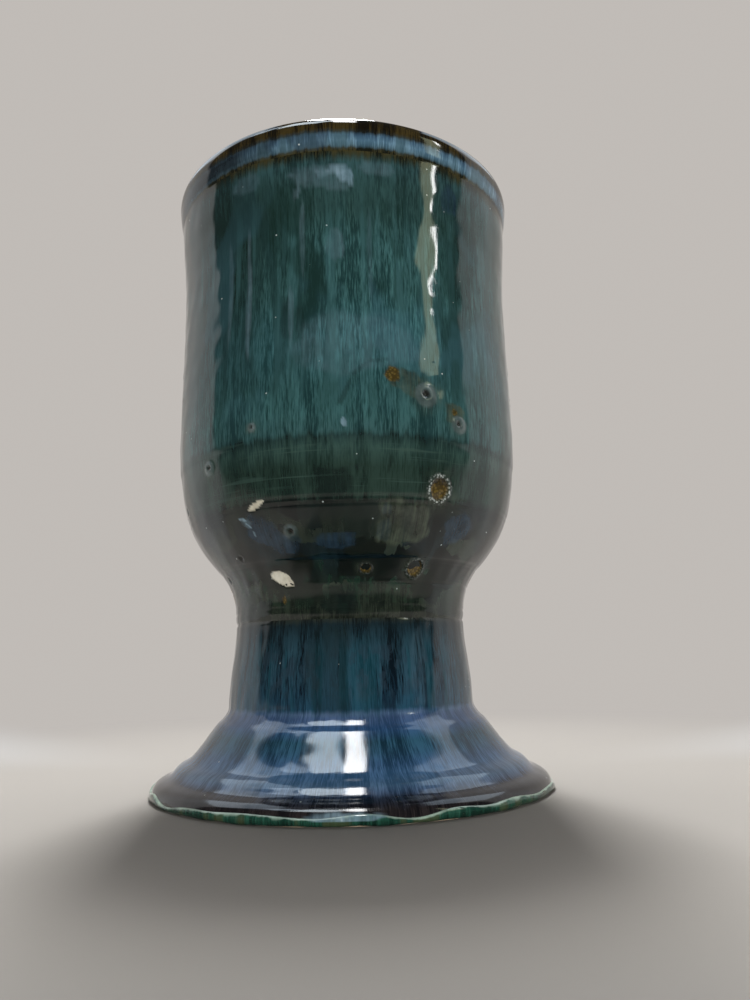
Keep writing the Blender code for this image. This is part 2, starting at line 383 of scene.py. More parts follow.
class MarkKind(Enum):
    """What a mark in the glaze is."""

    BLISTER = "raised ring of healed glaze round a pit"
    BURST = "burst bubble with a burnt floor and a frothy rim"
    PIT = "small open pinhole"
    STAIN = "flat iron stain"
    CHIP = "flake off the glaze, down to cream"
    # Pale milky glaze; some of these marks are painted glints and highlights instead.
    MILK = "pale milky patch"
    POOL = "blue where the glaze lay thick"
    OLIVE = "olive where the glaze lay thin"
    # Painted dark reflection: near black patches that stand for dark surroundings seen in the glaze.
    DEEP = "near black where the glaze lay thickest"


@dataclass(frozen=True)
class Mark:
    """One mark of the kiln: where it is, how large it is and how it lies. Angles are in degrees."""

    kind: MarkKind
    azimuth: float
    height_mm: float
    radius_mm: float
    stretch: float = 1.0
    turn: float = 0.0
    strength: float = 1.0


@dataclass(frozen=True)
class MarkSizes:
    """Heights and depths of the marks. Distances across a mark are shares of its radius."""

    reach: float = 4.0
    dome: float = 0.45 * MM
    dome_pit: float = 0.80 * MM
    dome_pit_above: float = 0.12
    dome_rim: float = 0.09 * MM
    burst_rim: float = 0.26 * MM
    burst_floor: float = 0.42 * MM
    burst_grain: float = 0.04 * MM
    pit_rim: float = 0.10 * MM
    pit_depth: float = 0.45 * MM
    chip_depth: float = 0.22 * MM
    chip_grain: float = 0.05 * MM


@dataclass
class Spot:
    """Places near one mark, in its own turned frame, where its outline is one from its middle."""

    near: Array
    x: Array
    y: Array
    rho: Array
    ragged: Array


class KilnMarks:
    """Every mark in the outside glaze, as lift and as masks over the surface; some masks are painted
    light: shade in pits, dark reflections and glints.
    """

    # The deep mask is painted dark reflection, the pit mask painted shade, and the milk mask partly
    # painted glints.
    MASKS = ("burnt", "froth", "blister", "milk", "chip", "pit", "pool", "olive", "deep")
    FRONT = (
        Mark(MarkKind.MILK, -9.0, 136.4, 2.6, 2.1, 0.0, 0.22),
        Mark(MarkKind.MILK, -14.2, 132.6, 1.7, 0.5, 25.0, 0.24),
        Mark(MarkKind.MILK, -31.0, 137.6, 2.2, 1.8, 0.0, 0.16),
        Mark(MarkKind.MILK, 10.0, 138.2, 1.6, 2.6, 0.0, 0.16),
        Mark(MarkKind.MILK, 0.4, 136.2, 1.7, 1.3, 40.0),
        Mark(MarkKind.MILK, -3.0, 137.2, 1.1, 1.9, -15.0, 0.75),
        Mark(MarkKind.MILK, 1.6, 135.0, 0.9, 1.4, 65.0, 0.80),
        Mark(MarkKind.MILK, -6.6, 136.4, 1.0, 1.6, 20.0, 0.45),
        Mark(MarkKind.MILK, -4.0, 135.4, 2.9, 1.9, 12.0, 0.20),
        Mark(MarkKind.MILK, -2.8, 119.5, 3.8, 0.55, 0.0, 0.20),
        Mark(MarkKind.MILK, -30.5, 110.0, 16.0, 0.045, 0.0, 0.30),
        Mark(MarkKind.MILK, -38.0, 112.0, 13.0, 0.055, 0.0, 0.20),
        Mark(MarkKind.MILK, -16.2, 104.0, 7.0, 0.090, 0.0, 0.20),
        Mark(MarkKind.MILK, -12.6, 122.0, 9.0, 0.070, 0.0, 0.16),
        Mark(MarkKind.MILK, 7.5, 117.0, 11.0, 0.050, 0.0, 0.14),
        # Painted dark reflections: near black patches on the bowl.
        Mark(MarkKind.DEEP, -17.8, 103.0, 5.0, 0.22, 0.0, 0.55),
        Mark(MarkKind.DEEP, -13.4, 101.5, 4.0, 0.25, 0.0, 0.50),
        Mark(MarkKind.DEEP, 40.0, 120.0, 17.0, 0.16, 0.0, 0.45),
        Mark(MarkKind.DEEP, -4.6, 66.8, 3.0, 1.30, 0.0, 0.85),
        Mark(MarkKind.DEEP, 12.2, 70.4, 1.9, 0.22, 14.0, 0.60),
        Mark(MarkKind.DEEP, -3.5, 58.6, 4.7, 1.55, 0.0, 0.70),
        Mark(MarkKind.DEEP, -4.5, 43.4, 3.3, 1.15, 0.0, 0.85),
        Mark(MarkKind.POOL, 34.8, 134.5, 3.4, 0.7),
        Mark(MarkKind.MILK, 2.0, 96.5, 7.0, 2.0, 0.0, 0.12),
        # Painted dark reflections: thin dark lines on the bowl.
        Mark(MarkKind.DEEP, -0.4, 85.6, 0.55, 6.0, -66.0, 0.50),
        Mark(MarkKind.DEEP, 3.4, 90.4, 0.50, 4.2, -40.0, 0.50),
        Mark(MarkKind.DEEP, 9.4, 92.6, 0.45, 5.0, -8.0, 0.45),
        Mark(MarkKind.OLIVE, 17.5, 88.3, 2.6, 1.4, 25.0),
        Mark(MarkKind.STAIN, 13.2, 89.7, 1.7),
        Mark(MarkKind.BLISTER, 23.5, 85.7, 2.8),
        Mark(MarkKind.OLIVE, 33.5, 82.6, 2.2, 1.2),
        Mark(MarkKind.STAIN, 33.5, 82.8, 0.8),
        Mark(MarkKind.BLISTER, 35.0, 80.2, 2.1),
        Mark(MarkKind.MILK, -1.0, 79.0, 1.0, 0.6, -12.0),
        Mark(MarkKind.BLISTER, -28.8, 79.5, 1.1),
        Mark(MarkKind.BLISTER, -47.5, 72.8, 1.8),
        Mark(MarkKind.BURST, 28.8, 65.9, 3.1, 0.96, 0.0, 0.8),
        Mark(MarkKind.CHIP, -30.0, 63.3, 0.62, 3.9, -21.0),
        # Painted glints: small pale marks that stand for highlights on ripples below the chip.
        Mark(MarkKind.MILK, -35.4, 60.2, 1.0, 1.4, 20.0, 0.25),
        Mark(MarkKind.MILK, -36.4, 60.9, 0.30, 3.4, 14.0, 0.9),
        Mark(MarkKind.MILK, -34.9, 59.6, 0.22, 4.0, 48.0, 0.9),
        Mark(MarkKind.MILK, -33.6, 57.9, 0.24, 2.8, 70.0, 0.8),
        Mark(MarkKind.OLIVE, 18.0, 58.9, 4.9, 1.2),
        Mark(MarkKind.POOL, -30.0, 58.2, 3.2, 1.3, 25.0),
        Mark(MarkKind.POOL, -23.0, 55.4, 2.4, 1.5),
        Mark(MarkKind.POOL, -4.5, 55.6, 1.9, 2.3),
        Mark(MarkKind.POOL, 11.8, 57.4, 2.5, 0.6),
        Mark(MarkKind.POOL, 12.0, 61.4, 1.2, 0.9),
        Mark(MarkKind.POOL, 40.0, 58.5, 3.4, 1.2, -25.0),
        Mark(MarkKind.BLISTER, -19.5, 57.6, 1.8, 1.0, 0.0, 0.45),
        Mark(MarkKind.PIT, -46.5, 53.6, 0.9),
        Mark(MarkKind.BURST, 27.5, 50.2, 2.7, 0.85, 0.0, 0.22),
        Mark(MarkKind.BURST, 6.5, 50.0, 1.4, 1.1, 0.0, 0.12),
        Mark(MarkKind.PIT, -70.0, 49.7, 1.4),
        Mark(MarkKind.CHIP, -29.8, 48.4, 1.6, 1.9, 32.0),
        Mark(MarkKind.OLIVE, 16.0, 43.0, 3.7, 1.75, 0.0, 0.28),
        Mark(MarkKind.OLIVE, -31.0, 43.2, 3.2, 1.0, 0.0, 0.25),
        Mark(MarkKind.STAIN, -30.5, 43.6, 0.9, 0.6),
        # Painted dark reflection on the stem.
        Mark(MarkKind.DEEP, -10.0, 28.0, 9.5, 0.50, 0.0, 0.62),
        Mark(MarkKind.MILK, 31.0, 28.0, 8.5, 0.30, 0.0, 0.07),
        # Painted highlight along the middle of the roll's crest.
        Mark(MarkKind.MILK, -2.0, 1.6, 0.5, 15.0, 0.0, 0.8),
    )
    FLAT = {
        MarkKind.STAIN: ("burnt", 0.95, 2),
        MarkKind.MILK: ("milk", 1.0, 2),
        MarkKind.POOL: ("pool", 0.90, 3),
        MarkKind.OLIVE: ("olive", 0.90, 5),
        # Painted dark reflections go into the deep mask.
        MarkKind.DEEP: ("deep", 0.90, 5),
    }
    KINDS_BEHIND = (
        MarkKind.BLISTER, MarkKind.POOL, MarkKind.BURST, MarkKind.OLIVE, MarkKind.PIT, MarkKind.STAIN,
        MarkKind.POOL, MarkKind.PIT, MarkKind.OLIVE, MarkKind.BLISTER,
    )
    PIT_MM = (0.8, 1.3)
    MARK_MM = (1.4, 2.7)
    PINHOLE_MM = (0.3, 0.55)
    MARK_HEIGHTS_MM = (43, 96)
    PINHOLE_HEIGHTS_MM = (44, 130)
    SIDES_AND_BACK = (62, 298)
    ALL_ROUND = (0, 360)

    def __init__(self, skin: Skin, seed: int = 41, behind: int = 40, pinholes: int = 26) -> None:
        """Gathers the marks at the front and draws more of the same kinds for the other sides.

        Args:
            skin: The path that the marks lie on.
            seed: Fixes the draw.
            behind: Number of marks on the sides and the back.
            pinholes: Number of small pits, on all sides.
        """
        self.skin = skin
        self.sizes = MarkSizes()
        draw = np.random.default_rng(seed)
        marks = list(self.FRONT)
        for number in range(behind):
            kind = self.KINDS_BEHIND[number % len(self.KINDS_BEHIND)]
            radius = draw.uniform(*(self.PIT_MM if kind is MarkKind.PIT else self.MARK_MM))
            azimuth = draw.uniform(*self.SIDES_AND_BACK)
            marks.append(Mark(kind, azimuth, draw.uniform(*self.MARK_HEIGHTS_MM), radius))
        for _ in range(pinholes):
            azimuth = draw.uniform(*self.ALL_ROUND)
            height = draw.uniform(*self.PINHOLE_HEIGHTS_MM)
            marks.append(Mark(MarkKind.PIT, azimuth, height, draw.uniform(*self.PINHOLE_MM)))
        self.marks = marks

    def over(self, azimuth: Array, length: Array) -> tuple[Array, Masks]:
        """Works out the lift and the masks at places on the outside.

        Each mark adds its lift, and a mask keeps the largest value that any mark gives it.

        Args:
            azimuth: Turn about +Z, in radians.
            length: Length along the path.

        Returns:
            The lift along the outward normal, and a mask from zero to one for each name in MASKS.
        """
        shapes = {
            MarkKind.BLISTER: self.blister,
            MarkKind.BURST: self.burst,
            MarkKind.PIT: self.pit,
            MarkKind.CHIP: self.chip,
        }
        lift = np.zeros(azimuth.shape)
        masks = {name: np.zeros(azimuth.shape) for name in self.MASKS}
        for number, mark in enumerate(self.marks):
            spot = self.spot(mark, number, azimuth, length)
            rise, cover = shapes.get(mark.kind, self.flat)(mark, spot)
            lift[spot.near] += rise
            for name, value in cover.items():
                masks[name][spot.near] = np.maximum(masks[name][spot.near], value)
        return lift, masks

    def spot(self, mark: Mark, number: int, azimuth: Array, length: Array) -> Spot:
        """Finds the places near a mark, with their distance rho from its middle.

        The irregular outline is a sum of three sines of the turn about the middle.

        Args:
            mark: The mark.
            number: Its place in the list, which turns its irregular outline.
            azimuth: Turn about +Z, in radians.
            length: Length along the path.

        Returns:
            The places, of which there may be none.
        """
        middle, radius = self.skin.outside_at(mark.height_mm * MM), mark.radius_mm * MM
        apart = (azimuth - math.radians(mark.azimuth) + math.pi) % (2 * math.pi) - math.pi
        across = apart * (self.skin.radius_at(middle) + SIZES.build)
        down = length - middle
        c, s = math.cos(math.radians(mark.turn)), math.sin(math.radians(mark.turn))
        x = (c * across + s * down) / (radius * mark.stretch)
        y = (c * down - s * across) / radius
        near = x * x + y * y < self.sizes.reach**2
        x, y = x[near], y[near]
        theta = np.arctan2(y, x)
        ragged = np.sin(3 * theta + number) + 0.7 * np.sin(5 * theta + 2.3 * number)
        ragged += 0.6 * np.sin(9 * theta - number)
        return Spot(near, x, y, np.hypot(x, y), ragged)

    def blister(self, mark: Mark, spot: Spot) -> tuple[Array, Masks]:
        """Healed bubble: a dome with a deep pit above its middle and a raised rim, with painted shade in
        the pit and painted highlights on the upper side of its rim and dome.

        Args:
            mark: The mark.
            spot: The places near it.

        Returns:
            The lift and the masks there.
        """
        sizes, rho = self.sizes, spot.rho
        off = np.hypot(spot.x, spot.y + sizes.dome_pit_above)
        dome = np.clip(1 - rho**2, 0, None) ** 1.4
        lift = sizes.dome * dome - sizes.dome_pit * bump(off, 0.0, 0.33)
        lift += sizes.dome_rim * bump(off, 0.46, 0.10)
        # Painted highlights: a glint on the upper right of the pit's rim and a pale sheen along the
        # dome's upper edge.
        painted_glint = 0.9 * bump(off, 0.52, 0.08) * smoothstep(spot.x - spot.y, -0.1, 0.5)
        painted_sheen = 0.4 * bump(rho, 0.84, 0.08) * smoothstep(spot.y, -0.3, -0.7)
        return lift, {
            "blister": mark.strength * smoothstep(rho, 1.10, 0.78),
            # Painted shade: the pit is coloured near black.
            "pit": smoothstep(off, 0.40, 0.24),
            "olive": 0.35 * mark.strength * bump(rho, 1.0, 0.6),
            "milk": mark.strength * (painted_glint + painted_sheen),
        }

    def burst(self, mark: Mark, spot: Spot) -> tuple[Array, Masks]:
        """Burst bubble: a raised frothy rim round a burnt floor with a grain, and painted shade along
        the top of the floor.

        Args:
            mark: The mark.
            spot: The places near it.

        Returns:
            The lift and the masks there.
        """
        sizes = self.sizes
        rho = spot.rho * (1 + 0.016 * spot.ragged)
        lift = sizes.burst_rim * bump(rho, 0.88, 0.12) - sizes.burst_floor * smoothstep(rho, 0.80, 0.66)
        grain = np.sin(9 * spot.y + 2 * np.sin(5 * spot.x))
        lift += sizes.burst_grain * grain * smoothstep(rho, 0.7, 0.5)
        return lift, {
            "burnt": smoothstep(rho, 0.82, 0.72),
            "froth": mark.strength * bump(rho, 0.90, 0.11),
            # Painted shade: the upper part of the floor is coloured near black.
            "pit": 0.8 * smoothstep(spot.y, -0.15, -0.45) * smoothstep(rho, 0.86, 0.72),
            "olive": 0.3 * bump(rho, 1.0, 0.6),
        }

    def pit(self, mark: Mark, spot: Spot) -> tuple[Array, Masks]:
        """Open pinhole: a bell-shaped pit in a low rim, shallower where it is under 1 mm wide, painted
        dark inside as shade.

        Args:
            mark: The mark.
            spot: The places near it.

        Returns:
            The lift and the masks there.
        """
        depth = self.sizes.pit_depth * min(1.0, mark.radius_mm)
        lift = self.sizes.pit_rim * bump(spot.rho, 1.0, 0.3) - depth * bump(spot.rho, 0.0, 0.62)
        # Painted shade: the mask colours the hole near black.
        return lift, {"pit": smoothstep(spot.rho, 0.85, 0.45)}

    def chip(self, _: Mark, spot: Spot) -> tuple[Array, Masks]:
        """Flake off the glaze: a rough floor inside a crisp irregular outline.

        Args:
            _: The mark, whose strength a chip doesn't take.
            spot: The places near it.

        Returns:
            The lift and the masks there.
        """
        inside = smoothstep(spot.rho * (1 + 0.045 * spot.ragged), 1.03, 0.95)
        lift = (self.sizes.chip_grain * spot.ragged - self.sizes.chip_depth) * inside
        return lift, {"chip": inside}

    def flat(self, mark: Mark, spot: Spot) -> tuple[Array, Masks]:
        """A mark of colour alone, whose outline is squarer the higher its power.

        Args:
            mark: The mark.
            spot: The places near it.

        Returns:
            No lift, and the mask there.
        """
        name, strength, power = self.FLAT[mark.kind]
        rho = (np.abs(spot.x) ** power + np.abs(spot.y) ** power) ** (1 / power)
        inside = smoothstep(rho * (1 + 0.07 * spot.ragged), 1.10, 0.84)
        return np.zeros(rho.shape), {name: mark.strength * strength * inside}


@dataclass
class Relief:
    """What the wheel and the knife left under the glaze, and how the glaze ran over it."""

    skin: Skin
    lean_height: float = 0.10 * MM
    shoulder_height: float = 0.8 * MM
    shoulder_below_top: float = 1.3 * MM
    shoulder_width: float = 1.7 * MM
    ripple_height: float = 0.028 * MM
    ripple_less_on_foot: float = 0.020 * MM
    ring_pitch: float = 6.5 * MM
    ring_height: float = 0.018 * MM
    sway_height: float = 0.35 * MM
    second_dip: float = 75.6 * MM
    dip_step: float = 0.07 * MM
    turned_lines: tuple[float, ...] = (63.9 * MM, 62.7 * MM, 52.2 * MM, 47.0 * MM, 41.4 * MM)
    line_depth: float = 0.07 * MM
    line_swing: float = 0.10 * MM
    line_width: float = 0.27 * MM
    collar_groove: float = 0.08 * MM
    joint_swell: float = 0.12 * MM
    joint_groove: float = 0.26 * MM
    foot_round: float = 15.6 * MM
    foot_round_height: float = 0.22 * MM
    foot_slope: float = 7.8 * MM
    foot_swell: float = 5.4 * MM
    foot_swell_height: float = 0.55 * MM
    inner_ring_pitch: float = 9 * MM
    inner_ring_height: float = 0.11 * MM
    inner_ripple_height: float = 0.02 * MM

    def __post_init__(self) -> None:
        """Draws the ripples, gathers the marks and finds the top of the lip."""
        self.ripple = Waves(7, (14, 46), (7 * MM, 40 * MM))
        self.lean = Waves(11, (2, 5), (60 * MM, 160 * MM), 6)
        self.wobble = Waves(5, (2, 9), (1.0, 2.0), 8)
        self.marks = KilnMarks(self.skin)
        self.lip_top = float(self.skin.length[self.skin.top])

    def outside(self, azimuth: Array, length: Array) -> tuple[Array, Masks]:
        """Lift and masks of the outside: what the wheel, the knife and the foot left, and the marks.

        Args:
            azimuth: Turn about +Z, in radians.
            length: Length along the path.

        Returns:
            The lift along the outward normal, and the kiln's masks.
        """
        lift, masks = self.marks.over(azimuth, length)
        lift = lift + self.thrown(azimuth, length) + self.turned(azimuth, length) + self.foot(length)
        return lift, masks

    def thrown(self, azimuth: Array, length: Array) -> Array:
        """Rounds that lean, the lip's full shoulder, ripples of the glaze and spiral throwing rings.

        Args:
            azimuth: Turn about +Z, in radians.
            length: Length along the path.

        Returns:
            The lift along the outward normal.
        """
        body = smoothstep(length, self.lip_top + 6 * MM, self.lip_top + 12 * MM)
        corner = self.skin.outside_at(SIZES.stem_base)
        foot = smoothstep(length, corner - 2 * MM, corner + 6 * MM)
        ripple_height = self.ripple_height - self.ripple_less_on_foot * foot
        rings = np.sin(2 * math.pi * length / self.ring_pitch + azimuth)
        lift = self.lean_height * self.lean(azimuth, length)
        shoulder = bump(length, self.lip_top + self.shoulder_below_top, self.shoulder_width)
        lift += self.shoulder_height * shoulder
        lift += ripple_height * body * self.ripple(azimuth, length)
        lift += self.ring_height * rings * body * (1 - foot)
        return lift

    def turned(self, azimuth: Array, length: Array) -> Array:
        """Step of the second dip, then grooves of the knife, the collar and the joint, which sway.

        Args:
            azimuth: Turn about +Z, in radians.
            length: Length along the path.

        Returns:
            The lift along the outward normal.
        """
        at = self.skin.outside_at
        sway = self.sway_height * self.wobble(azimuth)
        dip = length - at(self.second_dip) - 1.4 * sway
        lift = -self.dip_step * np.tanh(dip / (0.5 * MM)) * smoothstep(np.abs(dip), 14 * MM, 5 * MM)
        for line in map(at, self.turned_lines):
            strength = 0.5 + 0.5 * np.sin(azimuth * 2 + line * 900)
            depth = self.line_depth + self.line_swing * strength
            lift -= depth * bump(length, line + 0.5 * sway, self.line_width)
        joint = at(SIZES.collar_base)
        lift -= self.collar_groove * bump(length, at(SIZES.collar_top) + sway, 0.45 * MM)
        lift += self.joint_swell * bump(length, joint - 2.0 * MM, 1.6 * MM)
        lift -= self.joint_groove * bump(length, joint + 0.8 * sway, 0.42 * MM)
        return lift

    def foot(self, length: Array) -> Array:
        """Round under the corner of the flare, and swell near the edge of the foot, as smooth steps.

        Args:
            length: Length along the path.

        Returns:
            The lift along the outward normal.
        """
        heights = (self.foot_round, self.foot_slope, self.foot_swell)
        rounded, slope, edge = (self.skin.outside_at(height) for height in heights)
        step_up = smoothstep(length, rounded - 0.9 * MM, rounded + 0.9 * MM)
        swell = smoothstep(length, slope, edge) * smoothstep(length, edge + 3.2 * MM, edge + 0.2 * MM)
        lift = self.foot_round_height * step_up * smoothstep(length, slope, rounded + 1.5 * MM)
        return lift + self.foot_swell_height * swell

    def inside(self, azimuth: Array, length: Array) -> Array:
        """Lift of the inside: spiral throwing rings that fade up the wall, and the glaze's ripple.

        Args:
            azimuth: Turn about +Z, in radians.
            length: Length along the path.

        Returns:
            The lift along the outward normal.
        """
        fade = smoothstep(length, self.lip_top - 12 * MM, self.lip_top - 40 * MM)
        fade = fade * smoothstep(length, 4 * MM, 14 * MM)
        rings = np.sin(2 * math.pi * length / self.inner_ring_pitch + azimuth)
        ripple = self.inner_ripple_height * self.ripple(azimuth, length)
        return self.inner_ring_height * rings * fade + ripple


def front_weighted(count: int, weight: float) -> Array:
    """Azimuths round the pot from the back seam, spaced u - weight sin u, so they crowd at the front."""
    u = np.linspace(-math.pi, math.pi, count, endpoint=False)
    return u - weight * np.sin(u)


def crowded(count: int, low: float, high: float, weight: float) -> Array:
    """Row fractions from zero to one whose spacing between low and high is finer by one plus weight.

    Args:
        count: Number of rows.
        low: Where the finer rows begin.
        high: Where they end.
        weight: How much finer they are.

    Returns:
        The fractions, in order.
    """
    t = np.linspace(0, 1, 4000)
    density = 1 + weight * smoothstep(t, low - 0.08, low) * smoothstep(t, high + 0.08, high)
    total = np.concatenate([[0.0], np.cumsum(0.5 * (density[1:] + density[:-1]))])
    return np.interp(np.linspace(0, 1, count), total / total[-1], t)


class MeshBuilder:
    """Gathers grids of places into one closed mesh with a map and named values."""

    def __init__(self) -> None:
        """Starts with no places and no faces."""
        self.places: list[Array] = []
        self.faces: list[list[int]] = []
        self.corners: list[Array] = []
        self.values: dict[str, list[Array]] = {}
        self.count = 0

    def add_places(self, places: Array, values: dict[str, Array]) -> int:
        """Adds places with their named values, and returns the index of the first one.

        Args:
            places: Places of shape (..., 3).
            values: A value or a vector per place, by name.

        Returns:
            Index of the first place.
        """
        first = self.count
        flat = places.reshape(-1, 3)
        self.places.append(flat)
        for name, value in values.items():
            self.values.setdefault(name, []).append(value.reshape(len(flat), -1))
        self.count += len(flat)
        return first

    def add_band(self, upper: Array, lower: Array, v_upper: Array, v_lower: Array, u: Array) -> None:
        """Adds the quads of bands between rings of place numbers, each closed on itself.

        Args:
            upper: Place numbers of the upper rings, of shape (bands, round).
            lower: Place numbers of the lower rings.
            v_upper: The map's v on each upper ring.
            v_lower: The map's v on each lower ring.
            u: The map's u on each column, with one more at the seam.
        """
        next_upper, next_lower = np.roll(upper, -1, axis=1), np.roll(lower, -1, axis=1)
        quads = np.stack([upper, lower, next_lower, next_upper], axis=-1).reshape(-1, 4)
        self.faces.extend(quads.tolist())
        bands, around = upper.shape
        us = np.stack([u[:-1], u[:-1], u[1:], u[1:]], axis=-1)[None].repeat(bands, axis=0)
        vs = np.stack([v_upper, v_lower, v_lower, v_upper], axis=-1)[:, None].repeat(around, axis=1)
        self.corners.append(np.stack([us, vs], axis=-1).reshape(-1, 2))

    def add_fan(self, ring: Array, pole: int, v_ring: float, v_pole: float, u: Array,
                pole_first: bool) -> None:
        """Closes a ring of place numbers with triangles to a pole.

        Args:
            ring: Place numbers of the ring.
            pole: Place number of the pole.
            v_ring: The map's v on the ring.
            v_pole: The map's v at the pole.
            u: The map's u on each column, with one more at the seam.
            pole_first: Whether the triangles start at the pole, which turns them over.
        """
        after = np.roll(ring, -1)
        tip = np.full_like(ring, pole)
        order = [tip, ring, after] if pole_first else [after, ring, tip]
        self.faces.extend(np.stack(order, axis=-1).tolist())
        middle = 0.5 * (u[:-1] + u[1:])
        tip_uv = np.stack([middle, np.full_like(middle, v_pole)], axis=-1)
        ring_uv = np.stack([u[:-1], np.full_like(middle, v_ring)], axis=-1)
        after_uv = np.stack([u[1:], np.full_like(middle, v_ring)], axis=-1)
        corner = [tip_uv, ring_uv, after_uv] if pole_first else [after_uv, ring_uv, tip_uv]
        self.corners.append(np.stack(corner, axis=1).reshape(-1, 2))

    def finish(self, name: str, material: bpy.types.Material,
               sharp_degrees: float = 50.0) -> bpy.types.Object:
        """Makes the object, at the origin, with its map, its values and smooth shading.

        Args:
            name: Name of the object and its mesh.
            material: The finish.
            sharp_degrees: Edges that turn by more stay sharp.

        Returns:
            The new object, linked to the scene.
        """
        mesh = bpy.data.meshes.new(name)
        mesh.from_pydata(np.vstack(self.places).tolist(), [], self.faces)
        layer = mesh.uv_layers.new(name="OFBake")
        layer.uv.foreach_set("vector", np.vstack(self.corners).astype(np.float32).ravel())
        for key, parts in self.values.items():
            value = np.vstack(parts).astype(np.float32)
            kind, slot = ("FLOAT_VECTOR", "vector") if value.shape[1] == 3 else ("FLOAT", "value")
            mesh.attributes.new(key, kind, "POINT").data.foreach_set(slot, value.ravel())
        mesh.shade_smooth()
        mesh.set_sharp_from_angle(angle=math.radians(sharp_degrees))
        mesh.materials.append(material)
        mesh.update()
        piece = bpy.data.objects.new(name, mesh)
        bpy.context.scene.collection.objects.link(piece)
        return piece


class Side(Enum):
    """Which side of the lip a place on the path is on."""

    INSIDE = "inside"
    OUTSIDE = "outside"


@dataclass
class Coat:
    """One coat of glaze: a closed shell between two lengths along the skin, which may wander."""

    name: str
    node: str
    slot: str
    side: Side
    start: Edge
    end: Edge
    rows: Array
    around: int = 540
    front_weight: float = 0.5
    extra: Callable[[Array, Array], Array] | None = None
    inner_rows: int = 12
    FLOW_RADIUS = 40.0 * MM
    THINNEST = 0.08 * MM
    FACE_V = 0.08
    BACK_V = (0.01, 0.06)
    END_V = (0.07, 0.065)
    START_V = (0.01, 0.0)

    def build(self, skin: Skin, relief: Relief, material: bpy.types.Material) -> bpy.types.Object:
        """Turns the coat: its face from the rows, its back on the clay, and a band at each open edge.

        The face is lifted by the coat's build, the relief and the coat's own extra shape. A coat that
        starts on the axis closes at a pole.

        Args:
            skin: The path.
            relief: Relief and marks of the surface.
            material: The finish.

        Returns:
            The new object.
        """
        azimuth = front_weighted(self.around, self.front_weight)
        u = np.linspace(0, 1, self.around + 1)
        poled = float(self.start(azimuth).max()) <= 0.0
        rows = self.rows[1:] if poled else self.rows
        turn, length, row = self.grid(azimuth, rows)
        lift, masks = self.shape_at(turn, length, relief)
        lift = np.maximum(lift, self.THINNEST - SIZES.glaze)
        if self.extra is not None:
            lift = lift + self.extra(row, turn)
        mesh = MeshBuilder()
        face = self.add_rings(mesh, skin, azimuth, rows, SIZES.build + lift, masks)
        face_v = self.FACE_V + (1 - self.FACE_V) * (1 - rows)
        mesh.add_band(face[:-1], face[1:], face_v[:-1], face_v[1:], u)
        back_rows = np.linspace(rows[0], 1, self.inner_rows)
        back = self.add_rings(mesh, skin, azimuth, back_rows, SIZES.clearance)
        back_v = np.interp(back_rows, (0, 1), self.BACK_V)
        mesh.add_band(back[1:], back[:-1], back_v[1:], back_v[:-1], u)
        mesh.add_band(face[-1:], back[-1:], np.array(self.END_V[:1]), np.array(self.END_V[1:]), u)
        if poled:
            self.close_poles(mesh, skin, face[0], back[0], face_v[0], u)
        else:
            mesh.add_band(back[:1], face[:1], np.array(self.START_V[:1]), np.array(self.START_V[1:]), u)
        return mesh.finish(self.name, material)

    def grid(self, azimuth: Array, rows: Array) -> tuple[Array, Array, Array]:
        """Grid of the coat: at row t and azimuth a the length is start(a) + t (end(a) - start(a)).

        Args:
            azimuth: Turn about +Z of each column, in radians.
            rows: Row fractions, from the start to the end.

        Returns:
            The azimuth, the length along the path and the row fraction at each place.
        """
        start, end = self.start(azimuth), self.end(azimuth)
        length = start + rows[:, None] * (end - start)
        turn, row = np.broadcast_arrays(azimuth, rows[:, None])
        return turn, length, row

    def add_rings(self, mesh: MeshBuilder, skin: Skin, azimuth: Array, rows: Array, lift: Array | float,
                  masks: Masks | None = None) -> Array:
        """Adds the places of a grid with their flow, row and masks.

        Args:
            mesh: The mesh so far.
            skin: The path.
            azimuth: Turn about +Z of each column, in radians.
            rows: Row fractions.
            lift: Distance along the outward normal.
            masks: The kiln's masks, or none where the surface is hidden.

        Returns:
            Place numbers, of shape (rows, columns).
        """
        turn, length, row = self.grid(azimuth, rows)
        values = {"flow": self.flow(turn, length), "row": row}
        values.update(masks or self.no_masks(length.shape))
        first = mesh.add_places(skin.lifted(turn, length, lift), values)
        return first + np.arange(length.size).reshape(length.shape)

    @staticmethod
    def no_masks(shape: tuple[int, ...]) -> Masks:
        """Masks of a surface that carries no marks."""
        return {name: np.zeros(shape) for name in KilnMarks.MASKS}

    def shape_at(self, azimuth: Array, length: Array, relief: Relief) -> tuple[Array, Masks]:
        """Lift and masks for this coat's side. The coat over the lip counts as outside.

        Args:
            azimuth: Turn about +Z, in radians.
            length: Length along the path.
            relief: Relief and marks of the surface.

        Returns:
            The lift along the outward normal, and the kiln's masks.
        """
        if self.side is Side.OUTSIDE:
            return relief.outside(azimuth, length)
        return relief.inside(azimuth, length), self.no_masks(length.shape)

    def close_poles(self, mesh: MeshBuilder, skin: Skin, face_ring: Array, back_ring: Array, v: float,
                    u: Array) -> None:
        """Closes the face and the back on the axis.

        Args:
            mesh: The mesh so far.
            skin: The path.
            face_ring: Place numbers of the face's first ring.
            back_ring: Place numbers of the back's first ring.
            v: The map's v on the face's first ring.
            u: The map's u on each column.
        """
        origin = np.zeros((1, 1))
        values = {"flow": np.zeros((1, 1, 3)), "row": origin, **self.no_masks(origin.shape)}
        face_pole = mesh.add_places(skin.lifted(origin, origin, SIZES.build), values)
        back_pole = mesh.add_places(skin.lifted(origin, origin, SIZES.clearance), values)
        mesh.add_fan(face_ring, face_pole, v, 1.0, u, pole_first=True)
        mesh.add_fan(back_ring, back_pole, self.BACK_V[0], 0.0, u, pole_first=False)

